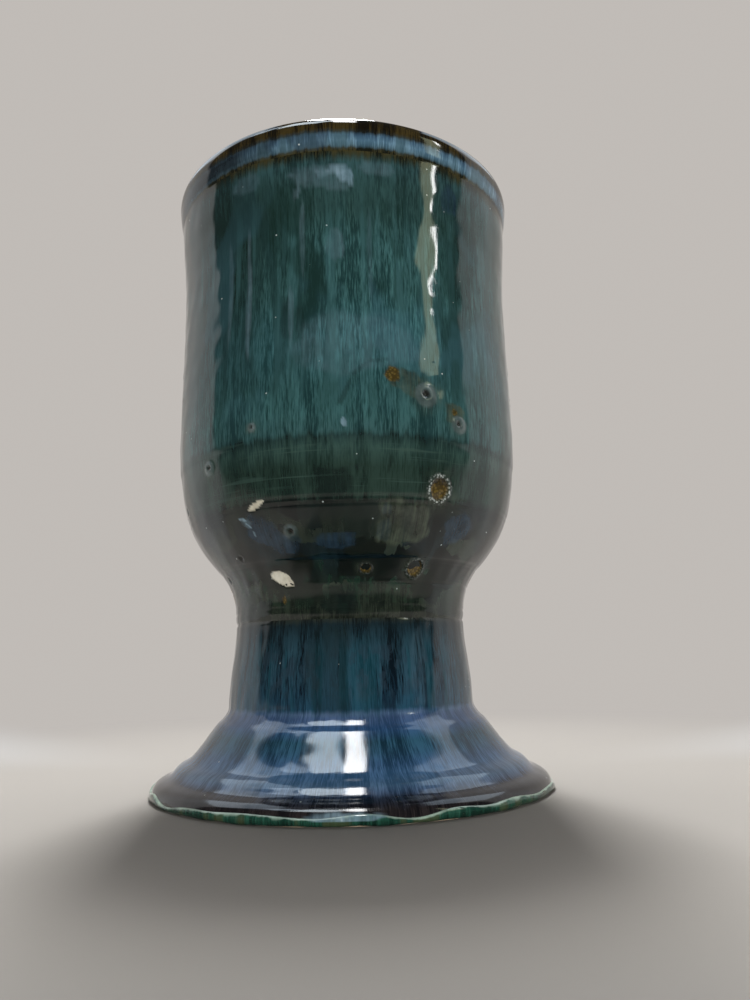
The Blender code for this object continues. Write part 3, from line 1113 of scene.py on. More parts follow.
    def flow(self, azimuth: Array, length: Array) -> Array:
        """Places on an upright cylinder unrolled along the path, so streaks follow the glaze's run."""
        r = self.FLOW_RADIUS
        return np.stack([r * np.sin(azimuth), -r * np.cos(azimuth), length], axis=-1)


@dataclass
class TurnedClay:
    """The bare pedestal: stem, flare and foot ring, with the marks of fingers inside the hollow."""

    name: str
    node: str
    slot: str
    around: int = 256
    hollow_count: int = 40
    foot_ring_count: int = 14
    outside_step: int = 3
    ring_pitch: float = 5.5 * MM
    ring_height: float = 0.16 * MM
    mouth_fade: tuple[float, float] = (39.5 * MM, 36 * MM)
    top_fade: tuple[float, float] = (42 * MM, 38 * MM)
    map_margin: float = 4 * MM
    sharp_degrees: float = 35.0

    def outline(self, skin: Skin) -> tuple[Array, int]:
        """Closed outline: spigot, shoulder, outside of stem and foot, flat ring, then up the hollow.

        Args:
            skin: The path.

        Returns:
            Points of shape (count, 2), and how many of the last ones are in the hollow.
        """
        s = SIZES
        joint = skin.outside_at(s.collar_base)
        outside = skin.points[skin.length >= joint]
        top = s.collar_base + s.spigot_height
        bore = s.stem_base_radius - s.stem_wall
        mouth = s.foot_radius - 0.25 * s.flare_lip_width - s.foot_ring_width
        spigot = [(s.spigot_bore, top), (s.spigot_radius, top), (s.spigot_radius, s.collar_base)]
        hollow = bezier((mouth, 0.0), (mouth - 0.45 * (mouth - bore), 0.20 * s.stem_base),
                        (bore, 0.45 * s.stem_base), (bore, s.stem_base), self.hollow_count)
        shaft = bezier((bore, s.stem_base), (bore, s.stem_base + 0.5 * s.stem_length),
                       (s.spigot_bore, s.collar_base - 0.2 * s.stem_length), (s.spigot_bore, top),
                       self.hollow_count)
        ring = np.linspace((outside[-1, 0], 0.0), (mouth, 0.0), self.foot_ring_count)
        inner = np.vstack([hollow[1:], shaft[1:-1]])
        return np.vstack([spigot, outside[:: self.outside_step], ring, inner]), len(inner)

    def build(self, skin: Skin, material: bpy.types.Material) -> bpy.types.Object:
        """Turns the outline about +Z, with finger rings on the hollow as a sine of the height.

        Args:
            skin: The path.
            material: The finish.

        Returns:
            The new object.
        """
        outline, inner = self.outline(skin)
        azimuth = front_weighted(self.around, 0.0)
        radius, height = outline[:, 0, None], outline[:, 1, None]
        hollow = (np.arange(len(outline)) >= len(outline) - inner)[:, None]
        fade = hollow * smoothstep(radius, *self.mouth_fade) * smoothstep(height, *self.top_fade)
        rings = np.sin(2 * math.pi * height / self.ring_pitch + azimuth)
        reach = radius - self.ring_height * rings * fade
        up = np.broadcast_to(height, reach.shape)
        places = np.stack([reach * np.sin(azimuth), -reach * np.cos(azimuth), up], axis=-1)
        mesh = MeshBuilder()
        first = mesh.add_places(places, {})
        ring = first + np.arange(reach.size).reshape(reach.shape)
        along = np.concatenate([[0.0], np.cumsum(np.hypot(*np.diff(outline, axis=0).T))])
        v = 1 - along / (along[-1] + self.map_margin)
        u = np.linspace(0, 1, self.around + 1)
        mesh.add_band(ring[:-1], ring[1:], v[:-1], v[1:], u)
        mesh.add_band(ring[-1:], ring[:1], v[-1:], np.array([0.0]), u)
        return mesh.finish(self.name, material, self.sharp_degrees)


class Nodes:
    """Adds nodes to a tree and joins them, so that a finish reads as a list of steps."""

    def __init__(self, tree: bpy.types.NodeTree) -> None:
        """Works on one tree."""
        self.tree = tree

    def put(self, socket: bpy.types.NodeSocket, value: object) -> None:
        """Links a socket to another one, or sets its value.

        Args:
            socket: The input that takes the value.
            value: A socket, a number, a colour or a vector.
        """
        if isinstance(value, bpy.types.NodeSocket):
            self.tree.links.new(value, socket)
        elif isinstance(value, tuple) and socket.type == "RGBA":
            socket.default_value = (*value[:3], 1.0)
        else:
            socket.default_value = value

    def node(self, kind: str, inputs: dict | None = None, **settings: object) -> bpy.types.Node:
        """Adds a node.

        Args:
            kind: The node's type.
            inputs: What its inputs take, by name or number.
            **settings: Its own settings by name.

        Returns:
            The new node.
        """
        new = self.tree.nodes.new(kind)
        for name, value in settings.items():
            setattr(new, name, value)
        for key, value in (inputs or {}).items():
            self.put(new.inputs[key], value)
        return new

    def maths(self, operation: str, *values: object) -> bpy.types.NodeSocket:
        """One step of arithmetic, by its name in Blender."""
        return self.node("ShaderNodeMath", dict(enumerate(values)), operation=operation).outputs[0]

    def stretched(self, vector: object, scale: Place, shift: object = 0.0) -> bpy.types.NodeSocket:
        """A vector times a scale on each axis, plus the same shift on all three."""
        inputs = {0: vector, 1: scale, 2: (shift,) * 3 if isinstance(shift, float) else shift}
        return self.node("ShaderNodeVectorMath", inputs, operation="MULTIPLY_ADD").outputs[0]

    def noise(self, vector: object, detail: float = 2.0, roughness: float = 0.5) -> bpy.types.NodeSocket:
        """Soft noise with a cell to each unit of the vector, about one half on average."""
        inputs = {"Vector": vector, "Scale": 1.0, "Detail": detail, "Roughness": roughness}
        return self.node("ShaderNodeTexNoise", inputs).outputs[0]

    def cells(self, vector: object, distance: str = "EUCLIDEAN") -> bpy.types.Node:
        """Scattered cells, about one to each unit, with the distance from their middles and a colour."""
        return self.node("ShaderNodeTexVoronoi", {"Vector": vector, "Scale": 1.0}, distance=distance)

    def axes(self, vector: object) -> tuple[bpy.types.NodeSocket, ...]:
        """The x, y and z of a vector."""
        return tuple(self.node("ShaderNodeSeparateXYZ", {0: vector}).outputs)

    def channels(self, colour: object) -> tuple[bpy.types.NodeSocket, ...]:
        """The red, green and blue of a colour."""
        return tuple(self.node("ShaderNodeSeparateColor", {0: colour}).outputs)

    def ranged(self, value: object, low: object, high: object, to_low: object = 0.0,
               to_high: object = 1.0, smooth: bool = False) -> bpy.types.NodeSocket:
        """Maps one range to another, clamped.

        Args:
            value: What is mapped.
            low: Value that gives to_low.
            high: Value that gives to_high.
            to_low: Result at low.
            to_high: Result at high.
            smooth: Whether the ends ease in.

        Returns:
            The mapped value.
        """
        inputs = {"Value": value, "From Min": low, "From Max": high, "To Min": to_low, "To Max": to_high}
        easing = "SMOOTHSTEP" if smooth else "LINEAR"
        return self.node("ShaderNodeMapRange", inputs, interpolation_type=easing).outputs[0]

    def mixed(self, factor: object, first: object, second: object) -> bpy.types.NodeSocket:
        """Mixes two colours: the first at zero, the second at one."""
        return self.node("ShaderNodeMix", {0: factor, 6: first, 7: second}, data_type="RGBA").outputs[2]

    def ramp(self, value: object, stops: list[tuple[float, Colour]]) -> bpy.types.NodeSocket:
        """Colours along a value from zero to one.

        Args:
            value: The value.
            stops: Places and colours, in order.

        Returns:
            The colour.
        """
        new = self.node("ShaderNodeValToRGB", {0: value})
        elements = new.color_ramp.elements
        while len(elements) < len(stops):
            elements.new(1.0)
        for element, (place, colour) in zip(elements, stops):
            element.position = place
            element.color = (*colour, 1.0)
        return new.outputs[0]

    def bumped(self, height: object, strength: float, distance: float) -> bpy.types.NodeSocket:
        """A normal that follows a height, where one stands for the distance."""
        inputs = {"Strength": strength, "Distance": distance, "Height": height}
        return self.node("ShaderNodeBump", inputs).outputs[0]

    def value(self, name: str, vector: bool = False) -> bpy.types.NodeSocket:
        """A named value that the piece carries on its surface."""
        new = self.node("ShaderNodeAttribute", attribute_name=name)
        return new.outputs["Vector" if vector else "Fac"]

    def placed(self, group: bpy.types.NodeTree, **inputs: object) -> Sockets:
        """Places a node group with its inputs by name, and gives its outputs by name."""
        return dict(self.node("ShaderNodeGroup", inputs, node_tree=group).outputs.items())


def new_material(name: str) -> tuple[bpy.types.Material, Nodes, bpy.types.Node]:
    """Starts a material.

    Args:
        name: Name of the material.

    Returns:
        The material, its nodes and its shader.
    """
    material = bpy.data.materials.new(name)
    material.use_nodes = True
    return material, Nodes(material.node_tree), material.node_tree.nodes["Principled BSDF"]


def new_group(name: str, inputs: dict[str, str],
              outputs: dict[str, str]) -> tuple[bpy.types.NodeTree, Nodes, Sockets, Sockets]:
    """Starts a shader node group.

    Args:
        name: Name of the group.
        inputs: Socket kind by input name.
        outputs: Socket kind by output name.

    Returns:
        The group, its nodes, its input sockets by name and the sockets that its outputs take.
    """
    group = bpy.data.node_groups.new(name, "ShaderNodeTree")
    for key, kind in inputs.items():
        group.interface.new_socket(key, in_out="INPUT", socket_type=kind)
    for key, kind in outputs.items():
        group.interface.new_socket(key, in_out="OUTPUT", socket_type=kind)
    nodes = Nodes(group)
    taken = {socket.name: socket for socket in nodes.node("NodeGroupInput").outputs if socket.name}
    given = {socket.name: socket for socket in nodes.node("NodeGroupOutput").inputs if socket.name}
    return group, nodes, taken, given


FLOAT = "NodeSocketFloat"
VECTOR = "NodeSocketVector"
COLOUR = "NodeSocketColor"


@dataclass(frozen=True)
class Layer:
    """How one kind of mark colours the glaze: its cover at most and at least, and its two tones."""

    name: str
    strength: float
    least: float
    deep: Colour
    pale: Colour


class GlazeGroups:
    """Effects that several glazes share, each built once."""

    PATTERNS = {
        "Fine": ((3600, 3600, 330), 0.30, 0.70),
        "Thread": ((1100, 1100, 70), 0.30, 0.70),
        "Broad": ((230, 230, 26), 0.34, 0.66),
        "Mottle": ((300, 300, 240), 0.30, 0.70),
        "Ragged": ((850, 850, 30), 0.25, 0.75),
        "Runs": ((330, 330, 14), 0.30, 0.70),
        "Turned": ((28, 28, 760), 0.35, 0.75),
        "Drift": ((80, 80, 44), 0.30, 0.70),
        "Haze": ((62, 62, 36), 0.30, 0.70),
    }
    PATTERN_DETAIL = 3
    PATTERN_ROUGHNESS = 0.58
    LEFT_SWAY_SCALE = (60, 60, 25)
    LEFT_SWAY = 0.5
    LEFT_START = 0.20
    LEFT_SLOPE = -11.0
    BLOCK_SCALE = (115, 115, 190)
    BLOCK_WARP_SCALE = (500, 500, 160)
    BLOCK_WARP = 0.6
    PINHOLE_SCALE = (560, 560, 560)
    BUBBLE_SCALE = (1700, 1700, 1700)
    LAYERS = (
        # Painted dark reflection, near black.
        Layer("Deep", 0.95, 0.60, (0.002, 0.005, 0.004), (0.007, 0.014, 0.011)),
        Layer("Pool", 0.90, 0.55, (0.005, 0.015, 0.026), (0.022, 0.050, 0.080)),
        Layer("Olive", 0.90, 0.45, (0.010, 0.015, 0.008), (0.092, 0.112, 0.076)),
        # Pale milky glaze, and painted glints and highlights.
        Layer("Milk", 0.95, 0.60, (0.120, 0.205, 0.250), (0.270, 0.390, 0.460)),
        Layer("Blister", 0.85, 1.00, (0.045, 0.064, 0.060), (0.120, 0.155, 0.148)),
        Layer("Burnt", 1.00, 1.00, (0.012, 0.008, 0.002), (0.135, 0.090, 0.018)),
        Layer("Froth", 1.00, 1.00, (0.030, 0.040, 0.030), (0.560, 0.600, 0.560)),
        # Painted shade in pits and along the tops of burst floors.
        Layer("Pit", 0.90, 1.00, (0.006, 0.005, 0.003), (0.012, 0.009, 0.005)),
        Layer("Chip", 1.00, 1.00, (0.480, 0.440, 0.330), (0.780, 0.750, 0.630)),
    )
    ROUGHENED = {"Burnt": 0.12, "Froth": 0.25, "Chip": 0.75}

    def __init__(self) -> None:
        """Builds the groups."""
        self.streaks = self.streak_group()
        self.pinholes = self.pinhole_group()
        self.kiln = self.kiln_group()

    def streak_group(self) -> bpy.types.NodeTree:
        """Patterns in the run of the glaze.

        Most are soft noise stretched along or round the pot. Left grows towards the pot's left side,
        and Block and Tile are values of squarish cells with warped edges.

        Returns:
            The group.
        """
        outputs = {name: FLOAT for name in (*self.PATTERNS, "Left", "Block", "Tile")}
        group, nodes, taken, given = new_group("glaze_streaks", {"Flow": VECTOR, "Seed": FLOAT}, outputs)
        flow, seed = taken["Flow"], taken["Seed"]
        for name, (scale, low, high) in self.PATTERNS.items():
            place = nodes.stretched(flow, scale, seed)
            noise = nodes.noise(place, self.PATTERN_DETAIL, self.PATTERN_ROUGHNESS)
            nodes.put(given[name], nodes.ranged(noise, low, high))
        sway = nodes.noise(nodes.stretched(flow, self.LEFT_SWAY_SCALE, seed))
        sway = nodes.maths("MULTIPLY_ADD", sway, self.LEFT_SWAY, self.LEFT_START)
        across = nodes.axes(flow)[0]
        nodes.put(given["Left"], nodes.maths("MULTIPLY_ADD", across, self.LEFT_SLOPE, sway))
        warp = nodes.noise(nodes.stretched(flow, self.BLOCK_WARP_SCALE, seed))
        warp = nodes.maths("MULTIPLY_ADD", warp, self.BLOCK_WARP, seed)
        cells = nodes.cells(nodes.stretched(flow, self.BLOCK_SCALE, warp), "CHEBYCHEV")
        block, tile, _ = nodes.channels(cells.outputs["Color"])
        nodes.put(given["Block"], block)
        nodes.put(given["Tile"], tile)
        return group

    def pinhole_group(self) -> bpy.types.NodeTree:
        """Pin-pricks, and pale specks that are partly small bubbles and partly painted glints, which are
        one in the middles of a few cells of a scatter.

        Returns:
            The group.
        """
        group, nodes, taken, given = new_group(
            "glaze_pinholes", {"Flow": VECTOR, "Share": FLOAT}, {"Pit": FLOAT, "Speck_and_glint": FLOAT}
        )
        share = taken["Share"]
        cells = nodes.cells(nodes.stretched(taken["Flow"], self.PINHOLE_SCALE))
        distance, drawn = cells.outputs["Distance"], nodes.channels(cells.outputs["Color"])[0]
        open_cell = nodes.maths("LESS_THAN", drawn, share)
        pit = nodes.ranged(distance, 0.17, 0.04, smooth=True)
        nodes.put(given["Pit"], nodes.maths("MULTIPLY", pit, open_cell))
        pale_cell = nodes.maths("GREATER_THAN", drawn, nodes.maths("SUBTRACT", 1.0, share))
        speck = nodes.ranged(distance, 0.13, 0.07, smooth=True)
        nodes.put(given["Speck_and_glint"], nodes.maths("MULTIPLY", speck, pale_cell))
        return group

    def kiln_group(self) -> bpy.types.NodeTree:
        """Colours and dullness of the kiln's marks, laid over a glaze in the order of LAYERS.

        Each mark goes from its deep to its pale tone with the grain, or with fine bubbles where it is
        burnt or frothy, and covers less where the streaks break it. The layer of pits is painted shade,
        the layer of dark patches painted dark reflection, and the pale milky layer carries painted
        glints.

        Returns:
            The group.
        """
        marks = {name.capitalize(): FLOAT for name in KilnMarks.MASKS}
        group, nodes, taken, given = new_group(
            "kiln_marks", {"Colour": COLOUR, "Flow": VECTOR, "Grain": FLOAT, "Break": FLOAT, **marks},
            {"Colour": COLOUR, "Roughness": FLOAT},
        )
        bubbles = nodes.cells(nodes.stretched(taken["Flow"], self.BUBBLE_SCALE))
        bubble = nodes.ranged(bubbles.outputs["Distance"], 0.62, 0.30, smooth=True)
        factors = {"Froth": bubble, "Burnt": nodes.maths("MULTIPLY_ADD", bubble, 0.55, 0.32)}
        colour = taken["Colour"]
        for layer in self.LAYERS:
            tone = nodes.mixed(factors.get(layer.name, taken["Grain"]), layer.deep, layer.pale)
            least = layer.least * layer.strength
            broken = nodes.ranged(taken["Break"], 0.25, 0.70, least, layer.strength)
            colour = nodes.mixed(nodes.maths("MULTIPLY", taken[layer.name], broken), colour, tone)
        nodes.put(given["Colour"], colour)
        dull = 0.0
        for name, roughness in self.ROUGHENED.items():
            dull = nodes.maths("MAXIMUM", dull, nodes.maths("MULTIPLY", taken[name], roughness))
        nodes.put(given["Roughness"], dull)
        return group


class Pattern(Enum):
    """Pattern of the glaze that a patch follows, by the name of its output in the group of streaks."""

    CLOUD = "Mottle"
    BROAD = "Broad"
    RUNS = "Runs"
    TURNED = "Turned"
    LEFT = "Left"
    DRIFT = "Drift"
    HAZE = "Haze"
    BLOCK = "Block"
    TILE = "Tile"


@dataclass(frozen=True)
class Zone:
    """Colours of a glaze at one height: between its streaks and in them."""

    height_mm: float
    dark: Colour
    bright: Colour
    side: Side = Side.OUTSIDE

    def length_on(self, skin: Skin) -> float:
        """Length along the path at the zone's height."""
        at = skin.inside_at if self.side is Side.INSIDE else skin.outside_at
        return at(self.height_mm * MM)


@dataclass(frozen=True)
class Patch:
    """A level where the glaze broke into patches of another colour."""

    height_mm: float
    reach_mm: float
    colour: Colour
    strength: float
    pattern: Pattern = Pattern.CLOUD


@dataclass(frozen=True)
class GlazeFinish:
    """A streaked glossy glaze, coloured in zones along the run."""

    name: str
    zones: tuple[Zone, ...]
    patches: tuple[Patch, ...] = ()
    ragged: float = 1.2 * MM
    fine_share: float = 0.42
    thread_share: float = 0.18
    roughness: float = 0.045
    pinholes: float = 0.05
    seed: float = 0.0
    index: float = 1.52
    # Pale glaze along a coat's upper edge, brightened further as a painted highlight.
    crest_and_highlight: Colour | None = None
    STREAK_ENDS = (0.34, 0.66)
    PATCH_ENDS = (0.52, 0.74)
    PATCH_CORE = 0.3
    CREST_FOOT = (0.14, 0.44)
    CREST_TOP = 0.04
    CREST_LEAST = 0.60
    # Pale specks, partly bubbles and partly painted glints, and how much of them shows.
    SPECK_AND_GLINT = (0.55, 0.62, 0.60)
    SPECK_AND_GLINT_SHARE = 0.8
    STREAK_RELIEF = 0.06
    BUMP_STRENGTH = 0.35
    BUMP_HEIGHT = 0.10 * MM

    def zoned(self, nodes: Nodes, skin: Skin, place: object, streaks: Sockets) -> bpy.types.NodeSocket:
        """Colours of the zones by length, dark between the streaks and bright in them.

        A streak is the fine, the thread and the broad pattern added by their shares.

        Args:
            nodes: The material's nodes.
            skin: The path, which turns heights into lengths.
            place: Length along the path, with ragged ends.
            streaks: The glaze's patterns by name.

        Returns:
            The colour.
        """
        lengths = [zone.length_on(skin) for zone in self.zones]
        along = nodes.ranged(place, lengths[0], lengths[-1])
        span = lengths[-1] - lengths[0]
        stops = [(length - lengths[0]) / span for length in lengths]
        dark = nodes.ramp(along, [(stop, zone.dark) for stop, zone in zip(stops, self.zones)])
        bright = nodes.ramp(along, [(stop, zone.bright) for stop, zone in zip(stops, self.zones)])
        broad_share = 1 - self.fine_share - self.thread_share
        streak = nodes.maths("MULTIPLY", streaks["Broad"], broad_share)
        streak = nodes.maths("MULTIPLY_ADD", streaks["Fine"], self.fine_share, streak)
        streak = nodes.maths("MULTIPLY_ADD", streaks["Thread"], self.thread_share, streak)
        return nodes.mixed(nodes.ranged(streak, *self.STREAK_ENDS), dark, bright)

    def patched(self, nodes: Nodes, skin: Skin, place: object, streaks: Sockets,
                colour: object) -> bpy.types.NodeSocket:
        """Lays the patches over a colour, each by its level and its pattern.

        Args:
            nodes: The material's nodes.
            skin: The path, which turns heights into lengths.
            place: Length along the path, with ragged ends.
            streaks: The glaze's patterns by name.
            colour: The colour below.

        Returns:
            The colour with the patches.
        """
        for patch in self.patches:
            middle, reach = skin.outside_at(patch.height_mm * MM), patch.reach_mm * MM
            away = nodes.maths("ABSOLUTE", nodes.maths("SUBTRACT", place, middle))
            level = nodes.ranged(away, reach, self.PATCH_CORE * reach, smooth=True)
            cloud = nodes.ranged(streaks[patch.pattern.value], *self.PATCH_ENDS, smooth=True)
            share = nodes.maths("MULTIPLY", nodes.maths("MULTIPLY", level, cloud), patch.strength)
            colour = nodes.mixed(share, colour, patch.colour)
        return colour

    def crested_with_highlight(self, nodes: Nodes, streaks: Sockets, colour: object) -> bpy.types.NodeSocket:
        """Lays a pale crest of uneven depth along the coat's upper edge, pale glaze with a painted
        highlight.

        Args:
            nodes: The material's nodes.
            streaks: The glaze's patterns by name.
            colour: The colour below.

        Returns:
            The colour with the crest.
        """
        foot = nodes.ranged(streaks["Mottle"], 0.2, 0.9, *self.CREST_FOOT)
        top = nodes.ranged(nodes.value("row"), foot, self.CREST_TOP, smooth=True)
        cover = nodes.ranged(streaks["Broad"], 0.1, 0.8, self.CREST_LEAST, 1.0)
        return nodes.mixed(nodes.maths("MULTIPLY", top, cover), colour, self.crest_and_highlight)

    def make(self, skin: Skin, groups: GlazeGroups) -> bpy.types.Material:
        """Builds the material: streaked zones, patches, crest with painted highlight, specks with
        painted glints, kiln marks and a fine bump.

        Args:
            skin: The path, which turns heights into lengths.
            groups: The shared effects.

        Returns:
            The material.
        """
        material, nodes, shader = new_material(self.name)
        flow = nodes.value("flow", vector=True)
        streaks = nodes.placed(groups.streaks, Flow=flow, Seed=self.seed)
        holes = nodes.placed(groups.pinholes, Flow=flow, Share=self.pinholes)
        shift = nodes.maths("MULTIPLY", nodes.maths("SUBTRACT", streaks["Ragged"], 0.5), self.ragged)
        place = nodes.maths("ADD", nodes.axes(flow)[2], shift)
        colour = self.patched(nodes, skin, place, streaks, self.zoned(nodes, skin, place, streaks))
        if self.crest_and_highlight is not None:
            colour = self.crested_with_highlight(nodes, streaks, colour)
        # Specks: pale bubbles and painted glints.
        speck = nodes.maths("MULTIPLY", holes["Speck_and_glint"], self.SPECK_AND_GLINT_SHARE)
        colour = nodes.mixed(speck, colour, self.SPECK_AND_GLINT)
        grain, breaks = streaks["Mottle"], streaks["Thread"]
        masks = {name.capitalize(): nodes.value(name) for name in KilnMarks.MASKS}
        kiln = nodes.placed(groups.kiln, Colour=colour, Flow=flow, Grain=grain, Break=breaks, **masks)
        plain = nodes.ranged(grain, 0.0, 1.0, 0.7 * self.roughness, 1.5 * self.roughness)
        lines = nodes.maths("MULTIPLY", streaks["Fine"], self.STREAK_RELIEF)
        height = nodes.maths("SUBTRACT", lines, holes["Pit"])
        nodes.put(shader.inputs["Base Color"], kiln["Colour"])
        nodes.put(shader.inputs["Roughness"], nodes.maths("ADD", plain, kiln["Roughness"]))
        nodes.put(shader.inputs["Normal"], nodes.bumped(height, self.BUMP_STRENGTH, self.BUMP_HEIGHT))
        nodes.put(shader.inputs["IOR"], self.index)
        return material


@dataclass(frozen=True)
class ClayFinish:
    """Bare fired stoneware: buff, mottled, with iron specks and fine drag lines of the turning tool."""

    name: str
    pale: Colour
    deep: Colour
    speck: Colour = (0.06, 0.035, 0.02)
    CLOUD_SCALE = (90, 90, 90)
    GRIT_SCALE = (1900, 1900, 1900)
    DRAG_SCALE = (60, 60, 1500)
    DRAG_SHARE = 0.7
    ROUGHNESS = (0.72, 0.92)
    BUMP_STRENGTH = 0.5
    BUMP_HEIGHT = 0.12 * MM

    def make(self) -> bpy.types.Material:
        """Builds the material on Object coordinates.

        Returns:
            The material.
        """
        material, nodes, shader = new_material(self.name)
        place = nodes.node("ShaderNodeTexCoord").outputs["Object"]
        cloud = nodes.noise(nodes.stretched(place, self.CLOUD_SCALE), 4, 0.6)
        grit = nodes.noise(nodes.stretched(place, self.GRIT_SCALE))
        drag = nodes.noise(nodes.stretched(place, self.DRAG_SCALE))
        colour = nodes.mixed(nodes.ranged(cloud, 0.3, 0.7), self.deep, self.pale)
        colour = nodes.mixed(nodes.ranged(grit, 0.66, 0.74), colour, self.speck)
        height = nodes.maths("ADD", grit, nodes.maths("MULTIPLY", drag, self.DRAG_SHARE))
        nodes.put(shader.inputs["Base Color"], colour)
        nodes.put(shader.inputs["Roughness"], nodes.ranged(grit, 0.2, 0.8, *self.ROUGHNESS))
        nodes.put(shader.inputs["Normal"], nodes.bumped(height, self.BUMP_STRENGTH, self.BUMP_HEIGHT))
        return material


IRON_DARK = (0.006, 0.004, 0.001)
IRON_GOLD = (0.052, 0.036, 0.009)

BOWL_GLAZE = GlazeFinish(
    "streaked_teal_glaze",
    (
        Zone(142.0, (0.007, 0.008, 0.003), (0.050, 0.042, 0.014)),
        Zone(141.0, (0.006, 0.011, 0.007), (0.036, 0.044, 0.024)),
        Zone(139.2, (0.012, 0.032, 0.032), (0.036, 0.090, 0.094)),
        Zone(134.0, (0.010, 0.028, 0.025), (0.030, 0.076, 0.072)),
        Zone(128.0, (0.008, 0.026, 0.022), (0.032, 0.080, 0.074)),
        Zone(120.0, (0.012, 0.040, 0.039), (0.056, 0.152, 0.150)),
        Zone(109.0, (0.010, 0.036, 0.035), (0.052, 0.142, 0.138)),
        Zone(99.0, (0.016, 0.058, 0.062), (0.070, 0.192, 0.206)),
        Zone(94.0, (0.014, 0.054, 0.057), (0.064, 0.178, 0.190)),
        Zone(88.0, (0.010, 0.038, 0.039), (0.046, 0.130, 0.130)),
        Zone(82.0, (0.009, 0.034, 0.034), (0.050, 0.140, 0.138)),
        Zone(77.4, (0.009, 0.032, 0.032), (0.044, 0.112, 0.110)),
        Zone(76.2, (0.006, 0.016, 0.014), (0.022, 0.050, 0.045)),
        Zone(74.0, (0.015, 0.036, 0.030), (0.036, 0.076, 0.063)),
        Zone(70.0, (0.008, 0.019, 0.014), (0.021, 0.044, 0.033)),
        Zone(64.6, (0.008, 0.019, 0.014), (0.022, 0.044, 0.033)),
        Zone(63.2, (0.001, 0.003, 0.002), (0.007, 0.013, 0.010)),
        Zone(59.0, (0.001, 0.003, 0.003), (0.007, 0.014, 0.013)),
        Zone(53.0, (0.001, 0.005, 0.006), (0.006, 0.017, 0.021)),
        Zone(46.0, (0.002, 0.006, 0.004), (0.010, 0.021, 0.014)),
        Zone(39.0, (0.003, 0.006, 0.004), (0.024, 0.030, 0.020)),
    ),
    (
        # Painted dark reflection: darker towards the pot's left side.
        Patch(122.0, 24.0, (0.006, 0.018, 0.014), 0.72, Pattern.LEFT),
        Patch(106.0, 34.0, (0.005, 0.020, 0.019), 0.60, Pattern.BROAD),
        Patch(104.0, 34.0, (0.050, 0.135, 0.138), 0.45, Pattern.RUNS),
        # Painted dark reflection: darker towards the pot's left side.
        Patch(98.0, 15.0, (0.007, 0.024, 0.023), 0.62, Pattern.LEFT),
        Patch(71.0, 8.0, (0.044, 0.082, 0.066), 0.55, Pattern.TURNED),
        Patch(112.0, 36.0, (0.007, 0.026, 0.020), 0.50, Pattern.DRIFT),
        Patch(108.0, 36.0, (0.038, 0.104, 0.126), 0.40, Pattern.HAZE),
        Patch(47.0, 8.0, (0.008, 0.030, 0.017), 0.60),
        Patch(52.0, 15.0, (0.044, 0.058, 0.038), 0.50, Pattern.BLOCK),
        Patch(52.0, 15.0, (0.001, 0.003, 0.002), 0.85, Pattern.TILE),
    ),
    ragged=2.3 * MM,
)
LIP_GLAZE = GlazeFinish(
    "iron_broken_lip_glaze",
    (
        Zone(142.0, (0.012, 0.040, 0.040), (0.040, 0.110, 0.110), Side.INSIDE),
        Zone(145.5, (0.010, 0.016, 0.012), (0.060, 0.060, 0.030), Side.INSIDE),
        Zone(148.0, IRON_DARK, IRON_GOLD, Side.INSIDE),
        Zone(146.9, IRON_DARK, IRON_GOLD),
        Zone(146.2, (0.009, 0.012, 0.011), (0.044, 0.046, 0.032)),
        # The blue band is the glaze's blue on the bead, made paler by a painted reflection of the sky.
        Zone(145.5, (0.040, 0.086, 0.138), (0.135, 0.240, 0.325)),
        Zone(144.4, (0.070, 0.145, 0.210), (0.195, 0.335, 0.430)),
        Zone(143.4, (0.045, 0.096, 0.130), (0.145, 0.252, 0.318)),
        Zone(142.7, (0.009, 0.011, 0.006), (0.056, 0.050, 0.024)),
        Zone(142.0, (0.007, 0.008, 0.003), (0.050, 0.042, 0.014)),
    ),
    (
        Patch(144.4, 2.6, (0.030, 0.072, 0.086), 0.65, Pattern.BROAD),
        Patch(144.4, 2.6, (0.022, 0.040, 0.062), 0.55, Pattern.DRIFT),
        # Painted dark reflection: the blue band darkens towards the pot's left side.
        Patch(144.6, 2.4, (0.008, 0.011, 0.012), 0.90, Pattern.LEFT),
    ),
    ragged=0.7 * MM,
    seed=3.1,
)
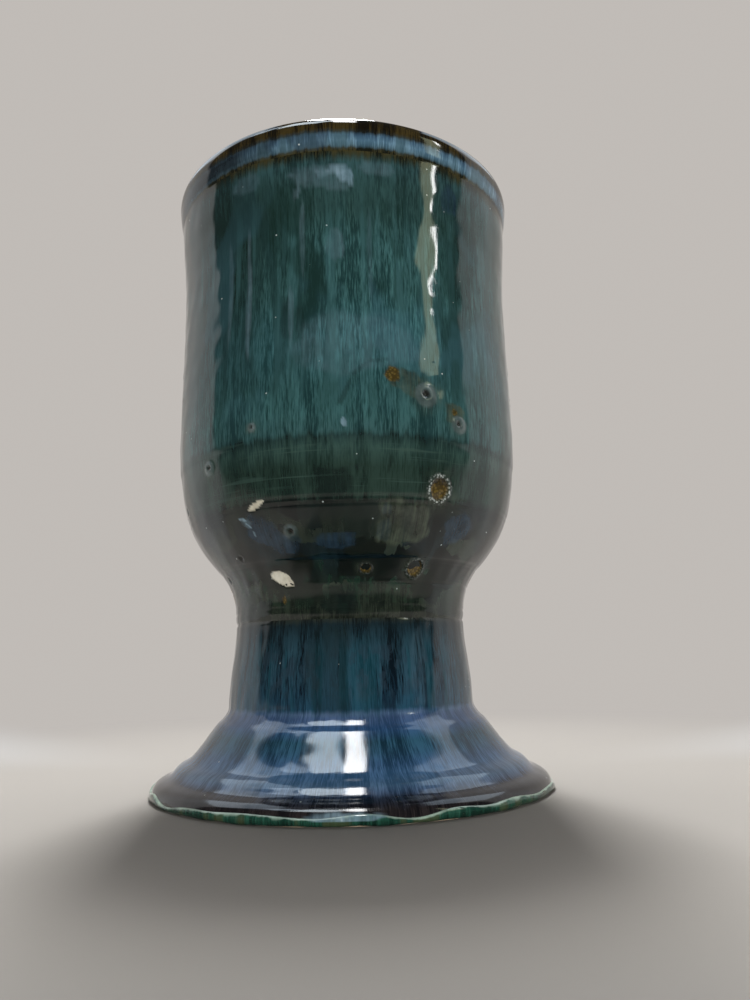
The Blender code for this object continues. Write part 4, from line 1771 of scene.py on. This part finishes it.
PEDESTAL_GLAZE = GlazeFinish(
    "streaked_blue_glaze",
    (
        Zone(39.0, (0.006, 0.008, 0.006), (0.026, 0.032, 0.024)),
        Zone(37.6, (0.003, 0.008, 0.010), (0.009, 0.022, 0.028)),
        Zone(32.0, (0.001, 0.005, 0.008), (0.024, 0.066, 0.090)),
        Zone(25.0, (0.001, 0.006, 0.012), (0.026, 0.076, 0.112)),
        Zone(19.9, (0.006, 0.022, 0.040), (0.018, 0.070, 0.115)),
        # Zones from 18.7 to 15.4 mm are made paler as a painted highlight along the corner of the flare.
        Zone(18.7, (0.036, 0.074, 0.135), (0.090, 0.150, 0.255)),
        Zone(17.6, (0.030, 0.062, 0.130), (0.076, 0.132, 0.260)),
        Zone(15.4, (0.018, 0.058, 0.140), (0.052, 0.130, 0.280)),
        Zone(13.0, (0.005, 0.027, 0.046), (0.034, 0.118, 0.185)),
        Zone(11.0, (0.007, 0.031, 0.058), (0.042, 0.128, 0.215)),
        Zone(9.0, (0.013, 0.045, 0.095), (0.062, 0.146, 0.285)),
        # Zones at 6.6 and 5.2 mm are the glaze's blue, made paler by painted sheen and painted light
        # where the flare lies in shade.
        Zone(6.6, (0.040, 0.110, 0.215), (0.105, 0.220, 0.400)),
        Zone(5.2, (0.042, 0.096, 0.170), (0.110, 0.205, 0.335)),
        Zone(4.4, (0.022, 0.048, 0.096), (0.092, 0.155, 0.270)),
        Zone(3.7, (0.009, 0.014, 0.028), (0.050, 0.070, 0.115)),
        Zone(2.2, (0.005, 0.004, 0.005), (0.024, 0.019, 0.019)),
    ),
    (
        Patch(26.0, 11.0, (0.006, 0.060, 0.080), 0.50, Pattern.RUNS),
        Patch(28.0, 8.0, (0.022, 0.042, 0.060), 0.50),
    ),
    ragged=0.8 * MM,
    roughness=0.085,
    seed=7.7,
)
LINER_GLAZE = GlazeFinish(
    "liner_glaze_inside",
    (
        Zone(54.0, (0.004, 0.016, 0.022), (0.012, 0.045, 0.058), Side.INSIDE),
        Zone(57.0, (0.005, 0.022, 0.028), (0.016, 0.060, 0.072), Side.INSIDE),
        Zone(66.0, (0.012, 0.046, 0.050), (0.044, 0.125, 0.130), Side.INSIDE),
        Zone(100.0, (0.012, 0.042, 0.044), (0.042, 0.115, 0.118), Side.INSIDE),
        Zone(142.0, (0.010, 0.034, 0.036), (0.040, 0.110, 0.115), Side.INSIDE),
    ),
    seed=12.3,
)
ROLL_GLAZE = GlazeFinish(
    "pooled_emerald_glaze",
    (
        Zone(1.8, (0.012, 0.060, 0.040), (0.046, 0.165, 0.115)),
        Zone(1.1, (0.003, 0.024, 0.015), (0.018, 0.085, 0.054)),
        # Painted shade: near black at the roll's foot, under its bulge.
        Zone(0.3, (0.001, 0.007, 0.005), (0.004, 0.022, 0.015)),
    ),
    (Patch(1.4, 1.4, (0.075, 0.055, 0.014), 0.45, Pattern.BROAD),),
    ragged=0.4 * MM,
    roughness=0.04,
    seed=21.0,
    # The crest is pale glaze at the roll's top, with a painted highlight.
    crest_and_highlight=(0.50, 0.66, 0.54),
)
BUFF_CLAY = ClayFinish("buff_stoneware", (0.50, 0.40, 0.28), (0.36, 0.26, 0.17))
JOINING_SLIP = ClayFinish("fired_joining_slip", (0.40, 0.30, 0.20), (0.28, 0.20, 0.13))


class Goblet:
    """The whole pot: the coats of glaze, the bare pedestal and the hidden clay."""

    ROLL_TOP = 1.65 * MM
    ROLL_TOP_WANDER = 0.30 * MM
    ROLL_FOOT = 0.45 * MM
    ROLL_FOOT_WANDER = 0.08 * MM
    ROLL_THICK = 0.62 * MM
    ROLL_UNEVEN = 0.13 * MM
    ROLL_TAPER = 0.25
    ROLL_SPAN = 2 * MM

    def __init__(self) -> None:
        """Prepares the skin, its relief and the shared effects."""
        self.skin = Skin(SIZES)
        self.relief = Relief(self.skin)
        self.groups = GlazeGroups()
        self.edge_waves = Waves(23, (3, 22), (1.0, 2.0), 14)
        self.bead_waves = Waves(29, (4, 30), (4 * MM, 9 * MM), 16)

    def level(self, length: float) -> Edge:
        """An edge at one length all round."""
        return lambda azimuth: np.full(azimuth.shape, length)

    def roll_top(self, azimuth: Array) -> Array:
        """The wandering upper edge of the roll at the foot."""
        return self.skin.outside_at(self.ROLL_TOP) + self.ROLL_TOP_WANDER * self.edge_waves(azimuth)

    def roll_foot(self, azimuth: Array) -> Array:
        """Lower edge of the roll, which stays clear of the ground."""
        wander = self.ROLL_FOOT_WANDER * self.edge_waves(2 * azimuth)
        return self.skin.outside_at(self.ROLL_FOOT) + wander

    def roll_shape(self, row: Array, azimuth: Array) -> Array:
        """Bulge of the roll: half an ellipse over its rows, uneven round the foot and thinner below."""
        thick = self.ROLL_THICK + self.ROLL_UNEVEN * self.bead_waves(azimuth, row * self.ROLL_SPAN)
        return thick * np.sqrt(np.clip(1 - (2 * row - 1) ** 2, 0, 1)) * (1 - self.ROLL_TAPER * row)

    def coats(self) -> list[tuple[Coat, GlazeFinish]]:
        """The five coats, four from the lip down the outside and then the liner.

        Returns:
            Each coat with its finish.
        """
        skin, level = self.skin, self.level
        lip_in, lip_out = skin.inside_at(SIZES.step), skin.outside_at(SIZES.step)
        joint = skin.outside_at(SIZES.collar_base)
        lip = Coat("lip_glaze_coat", "lip_glaze", "iron_glaze", Side.OUTSIDE, level(lip_in),
                   level(lip_out), np.linspace(0, 1, 64))
        bowl = Coat("bowl_glaze_coat", "bowl_glaze", "teal_glaze", Side.OUTSIDE, level(lip_out),
                    level(joint), crowded(202, 0.44, 0.97, 1.5), around=460)
        pedestal = Coat("pedestal_glaze_coat", "pedestal_glaze", "blue_glaze", Side.OUTSIDE,
                        level(joint), self.roll_top, np.linspace(0, 1, 120))
        roll = Coat("foot_glaze_bead", "foot_glaze_roll", "green_glaze", Side.OUTSIDE, self.roll_top,
                    self.roll_foot, np.linspace(0, 1, 30), around=720, front_weight=0.35,
                    extra=self.roll_shape, inner_rows=5)
        liner = Coat("liner_glaze_coat", "liner_glaze", "liner_glaze", Side.INSIDE, level(0.0),
                     level(lip_in), np.linspace(0, 1, 150), around=360, front_weight=0.0)
        finishes = (LIP_GLAZE, BOWL_GLAZE, PEDESTAL_GLAZE, ROLL_GLAZE, LINER_GLAZE)
        return list(zip((lip, bowl, pedestal, roll, liner), finishes))

    def build(self) -> None:
        """Makes every piece, has it replace its node, and dresses the clay that stays."""
        for coat, finish in self.coats():
            piece = coat.build(self.skin, self.relief, finish.make(self.skin, self.groups))
            self.settle(piece, coat.node, coat.slot)
        clay = BUFF_CLAY.make()
        foot = TurnedClay("pedestal_clay", "pedestal", "clay")
        self.settle(foot.build(self.skin, clay), foot.node, foot.slot)
        dressed = {"bowl": clay, "joint_collar": clay, "joint_slip": JOINING_SLIP.make()}
        for node, material in dressed.items():
            self.dress(node, material)

    def settle(self, piece: bpy.types.Object, node: str, slot: str) -> None:
        """Rides a piece on the pot in place of a node, and reports it.

        Args:
            piece: The piece.
            node: The node that it stands for.
            slot: The record's material slot; not used.
        """
        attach(piece, "root")
        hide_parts(node)
        log.info("%s: %d faces, in place of %s", piece.name, len(piece.data.polygons), node)

    def dress(self, node: str, material: bpy.types.Material) -> None:
        """Gives a node that stays its finish, and reports it.

        Args:
            node: Name of the node.
            material: The finish.
        """
        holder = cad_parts[node]
        holder.data.materials.clear()
        holder.data.materials.append(material)
        log.info("%s: keeps its solid, in %s", node, material.name)


WHITE = (1.0, 1.0, 1.0)
SKY = (0.72, 0.86, 1.0)
PANE = (0.82, 0.93, 1.0)
GARDEN = (0.86, 0.92, 0.62)
SOFTBOX = (0.98, 0.99, 1.0)


@dataclass(frozen=True)
class Lamp:
    """A flat soft lamp that faces a point on the pot."""

    name: str
    place: Place
    size: tuple[float, float]
    watts: float
    colour: Colour = WHITE
    aim_height: float = 0.07
    in_gloss: bool = True
    on_matt: bool = True

    def make(self) -> bpy.types.Object:
        """Adds the lamp to the scene, turned to its aim on the pot's axis.

        Returns:
            The lamp's object.
        """
        light = bpy.data.lights.new(self.name, "AREA")
        light.shape = "RECTANGLE"
        light.size, light.size_y = self.size
        light.energy = self.watts
        light.color = self.colour
        lamp = bpy.data.objects.new(self.name, light)
        away = Vector(self.place) - Vector((0.0, 0.0, self.aim_height))
        lamp.rotation_euler = away.to_track_quat("Z", "Y").to_euler()
        lamp.location = self.place
        lamp.visible_camera = False
        lamp.visible_glossy = self.in_gloss
        lamp.visible_diffuse = self.on_matt
        bpy.context.scene.collection.objects.link(lamp)
        return lamp


@dataclass
class Studio:
    """Pale floor, with painted shade in front, that sweeps up into a wall all round, dark in front, with
    soft lamps and the camera.

    The edge between the pale side and the dark front is crisp in gloss and soft to the camera. Angles
    are in degrees, apart from the three widths of that edge, and the focal length is in pixels.
    """

    floor_reach: float = 0.90
    # Where the painted shade on the floor begins and ends, in front of the axis.
    painted_shade_from: float = 0.085
    painted_shade_to: float = 0.20
    cove: float = 0.22
    wall_top: float = 1.6
    wall_from: float = 89.0
    wall_lean: float = 5.5
    side_from: float = 138.0
    side_to: float = 115.0
    soft_edge: float = 0.5
    crisp_edge: float = 0.05
    floor_edge_ahead: float = 0.35
    plain_in_dusk: tuple[float, float] = (0.45, 0.85)
    plain_behind: tuple[float, float] = (0.06, 0.24)
    paper_roughness: float = 0.95
    paper_specular: float = 0.1
    pale: Colour = (0.475, 0.445, 0.41)
    # Colour of the painted shade on the floor in front.
    painted_front_shade: Colour = (0.07, 0.075, 0.08)
    shown: Colour = (0.53, 0.50, 0.472)
    side_shown: Colour = (0.72, 0.72, 0.72)
    dusk_shown: Colour = (0.06, 0.065, 0.07)
    lamps: tuple[Lamp, ...] = (
        Lamp("softbox_behind", (0.0, 0.42, 1.05), (0.18, 0.34), 12.5, SOFTBOX),
        Lamp("broad_overhead", (0.0, 0.34, 1.30), (0.90, 0.50), 4.0, in_gloss=False),
        Lamp("sky_left", (-0.62, 0.34, 1.05), (0.75, 0.60), 2.3, SKY, on_matt=False),
        Lamp("sky_right", (0.68, 0.30, 1.05), (0.70, 0.60), 2.1, SKY, on_matt=False),
        Lamp("overhead_window", (0.02, -0.31, 1.05), (0.15, 0.38), 4.0, on_matt=False),
        Lamp("overhead_pane", (-0.24, -0.30, 1.05), (0.34, 0.34), 3.0, PANE, on_matt=False),
        Lamp("left_pane", (-0.47, -0.10, 1.05), (0.20, 0.24), 0.55, SKY, on_matt=False),
        Lamp("right_window", (0.83, -0.43, 0.66), (0.042, 0.16), 0.36, WHITE, 0.12, on_matt=False),
        Lamp("right_garden", (0.79, -0.50, 0.585), (0.17, 0.33), 0.38, GARDEN, 0.11, on_matt=False),
        Lamp("fill_by_camera", (0.12, -0.95, 0.085), (0.5, 0.13), 6.8, in_gloss=False),
    )
    focal: float = 779.23
    image: tuple[int, int] = (750, 1000)
    eye: Place = (0.0, -0.19922, 0.03121)
    pitch: float = 11.18
    yaw: float = 1.981
    roll: float = 1.317
    nearest: float = 0.01
    SENSOR = 36.0
    COLUMNS = 360
    FIRST_RING = 0.004

    def sweep(self) -> bpy.types.Object:
        """Floor, cove and wall as one surface: a profile carried once round the pot.

        The profile runs out along the floor, turns up through a quarter circle and climbs.

        Returns:
            The sweep's object.
        """
        floor, cove, wall = np.linspace(0, 1, 24), np.linspace(1, 2, 24)[1:], np.linspace(2, 3, 12)[1:]
        along = np.concatenate([floor, cove, wall])
        turn = np.clip(along - 1, 0, 1) * math.pi / 2
        radius = self.floor_reach * np.clip(along, self.FIRST_RING, 1) + self.cove * np.sin(turn)
        climb = np.clip(along - 2, 0, 1) * (self.wall_top - self.cove)
        height = self.cove * (1 - np.cos(turn)) + climb
        azimuth = np.linspace(-math.pi, math.pi, self.COLUMNS, endpoint=False)
        out, up = radius[:, None] + 0 * azimuth, height[:, None] + 0 * azimuth
        places = np.stack([out * np.sin(azimuth), -out * np.cos(azimuth), up], axis=-1)
        mesh = MeshBuilder()
        first = mesh.add_places(places, {})
        ring = first + np.arange(out.size).reshape(out.shape)
        pole = mesh.add_places(np.zeros((1, 3)), {})
        u = np.linspace(0, 1, self.COLUMNS + 1)
        v = along / along[-1]
        mesh.add_band(ring[1:], ring[:-1], v[1:], v[:-1], u)
        mesh.add_fan(ring[0], pole, 0.0, 0.0, u, pole_first=False)
        return mesh.finish("studio_sweep", self.sweep_material())

    def sweep_material(self) -> bpy.types.Material:
        """Matt pale paper whose colour darkens in front as painted shade, and far out shows even tones
        to camera and gloss.

        Near the pot the paper takes light and shadow. Further out, by the distance from the axis, the
        camera and reflections see a plain tone, chosen by the turn about the axis.

        Returns:
            The material.
        """
        material, nodes, shader = new_material("pale_sweep_paper")
        nodes.put(shader.inputs["Roughness"], self.paper_roughness)
        nodes.put(shader.inputs["Specular IOR Level"], self.paper_specular)
        path = nodes.node("ShaderNodeLightPath").outputs
        seen = nodes.maths("MAXIMUM", path["Is Camera Ray"], path["Is Glossy Ray"])
        seen = nodes.maths("MAXIMUM", seen, path["Is Transmission Ray"])
        across, back, up = nodes.axes(nodes.node("ShaderNodeTexCoord").outputs["Object"])
        # Painted shade: the paper's colour goes from pale to near black in front of the pot.
        painted_front_shade = nodes.ranged(back, -self.painted_shade_from, -self.painted_shade_to, smooth=True)
        nodes.put(shader.inputs["Base Color"], nodes.mixed(painted_front_shade, self.pale, self.painted_front_shade))
        turn = nodes.maths("ARCTAN2", across, nodes.maths("MULTIPLY", back, -1.0))
        turn = nodes.maths("ABSOLUTE", nodes.maths("ADD", turn, math.radians(self.wall_lean)))
        side = nodes.ranged(turn, math.radians(self.side_from), math.radians(self.side_to), smooth=True)
        start = math.radians(self.wall_from)
        soft = nodes.ranged(path["Is Glossy Ray"], 0.0, 1.0, self.soft_edge, 0.0)
        edge = nodes.ranged(up, 0.0, self.cove, start - self.floor_edge_ahead, start)
        first = nodes.maths("SUBTRACT", edge, soft)
        last = nodes.maths("ADD", start + self.crisp_edge, soft)
        behind = nodes.ranged(turn, first, last, smooth=True)
        tone = nodes.mixed(side, self.shown, self.side_shown)
        tone = nodes.mixed(behind, self.dusk_shown, tone)
        glow = nodes.node("ShaderNodeEmission", {"Color": tone})
        squares = nodes.maths("ADD", nodes.maths("POWER", across, 2.0), nodes.maths("POWER", back, 2.0))
        near, beyond = (
            nodes.ranged(behind, 0.0, 1.0, in_dusk, in_pale)
            for in_dusk, in_pale in zip(self.plain_in_dusk, self.plain_behind)
        )
        far = nodes.ranged(nodes.maths("SQRT", squares), near, beyond, smooth=True)
        parts = {0: nodes.maths("MULTIPLY", seen, far), 1: shader.outputs[0], 2: glow.outputs[0]}
        mix = nodes.node("ShaderNodeMixShader", parts)
        nodes.put(material.node_tree.nodes["Material Output"].inputs[0], mix.outputs[0])
        return material

    def world(self) -> None:
        """Dim even surroundings, so that the front of the glaze keeps its depth."""
        world = bpy.data.worlds.new("dim_studio")
        world.use_nodes = True
        shader = world.node_tree.nodes["Background"]
        shader.inputs["Color"].default_value = (*self.dusk_shown, 1.0)
        shader.inputs["Strength"].default_value = 1.0
        bpy.context.scene.world = world

    def camera(self) -> bpy.types.Object:
        """Camera at the photograph's viewing angle: pitch up, yaw right, then roll about its own axis.

        Returns:
            The camera's object.
        """
        p, y, r = (math.radians(angle) for angle in (self.pitch, self.yaw, self.roll))
        forward = Vector((math.cos(p) * math.sin(y), math.cos(p) * math.cos(y), math.sin(p)))
        right = Vector((math.cos(y), -math.sin(y), 0.0))
        up = Vector((-math.sin(p) * math.sin(y), -math.sin(p) * math.cos(y), math.cos(p)))
        across = right * math.cos(r) - up * math.sin(r)
        above = right * math.sin(r) + up * math.cos(r)
        data = bpy.data.cameras.new("photo_camera")
        data.sensor_width = self.SENSOR
        data.lens = self.focal * self.SENSOR / max(self.image)
        data.clip_start = self.nearest
        holder = bpy.data.objects.new("photo_camera", data)
        turn = Matrix((across, above, -forward)).transposed()
        holder.matrix_world = Matrix.Translation(Vector(self.eye)) @ turn.to_4x4()
        bpy.context.scene.collection.objects.link(holder)
        bpy.context.scene.camera = holder
        return holder

    def build(self) -> None:
        """Sets the stage round the pot."""
        self.sweep()
        for lamp in self.lamps:
            lamp.make()
        self.world()
        self.camera()
        bpy.context.scene.view_settings.view_transform = "Standard"
        log.info("studio: sweep, %d lamps and camera", len(self.lamps))


def main() -> None:
    """Builds the goblet and its studio."""
    logging.basicConfig(level=logging.INFO, format="%(name)s: %(message)s")
    Goblet().build()
    Studio().build()


if __name__ == "__main__":
    main()
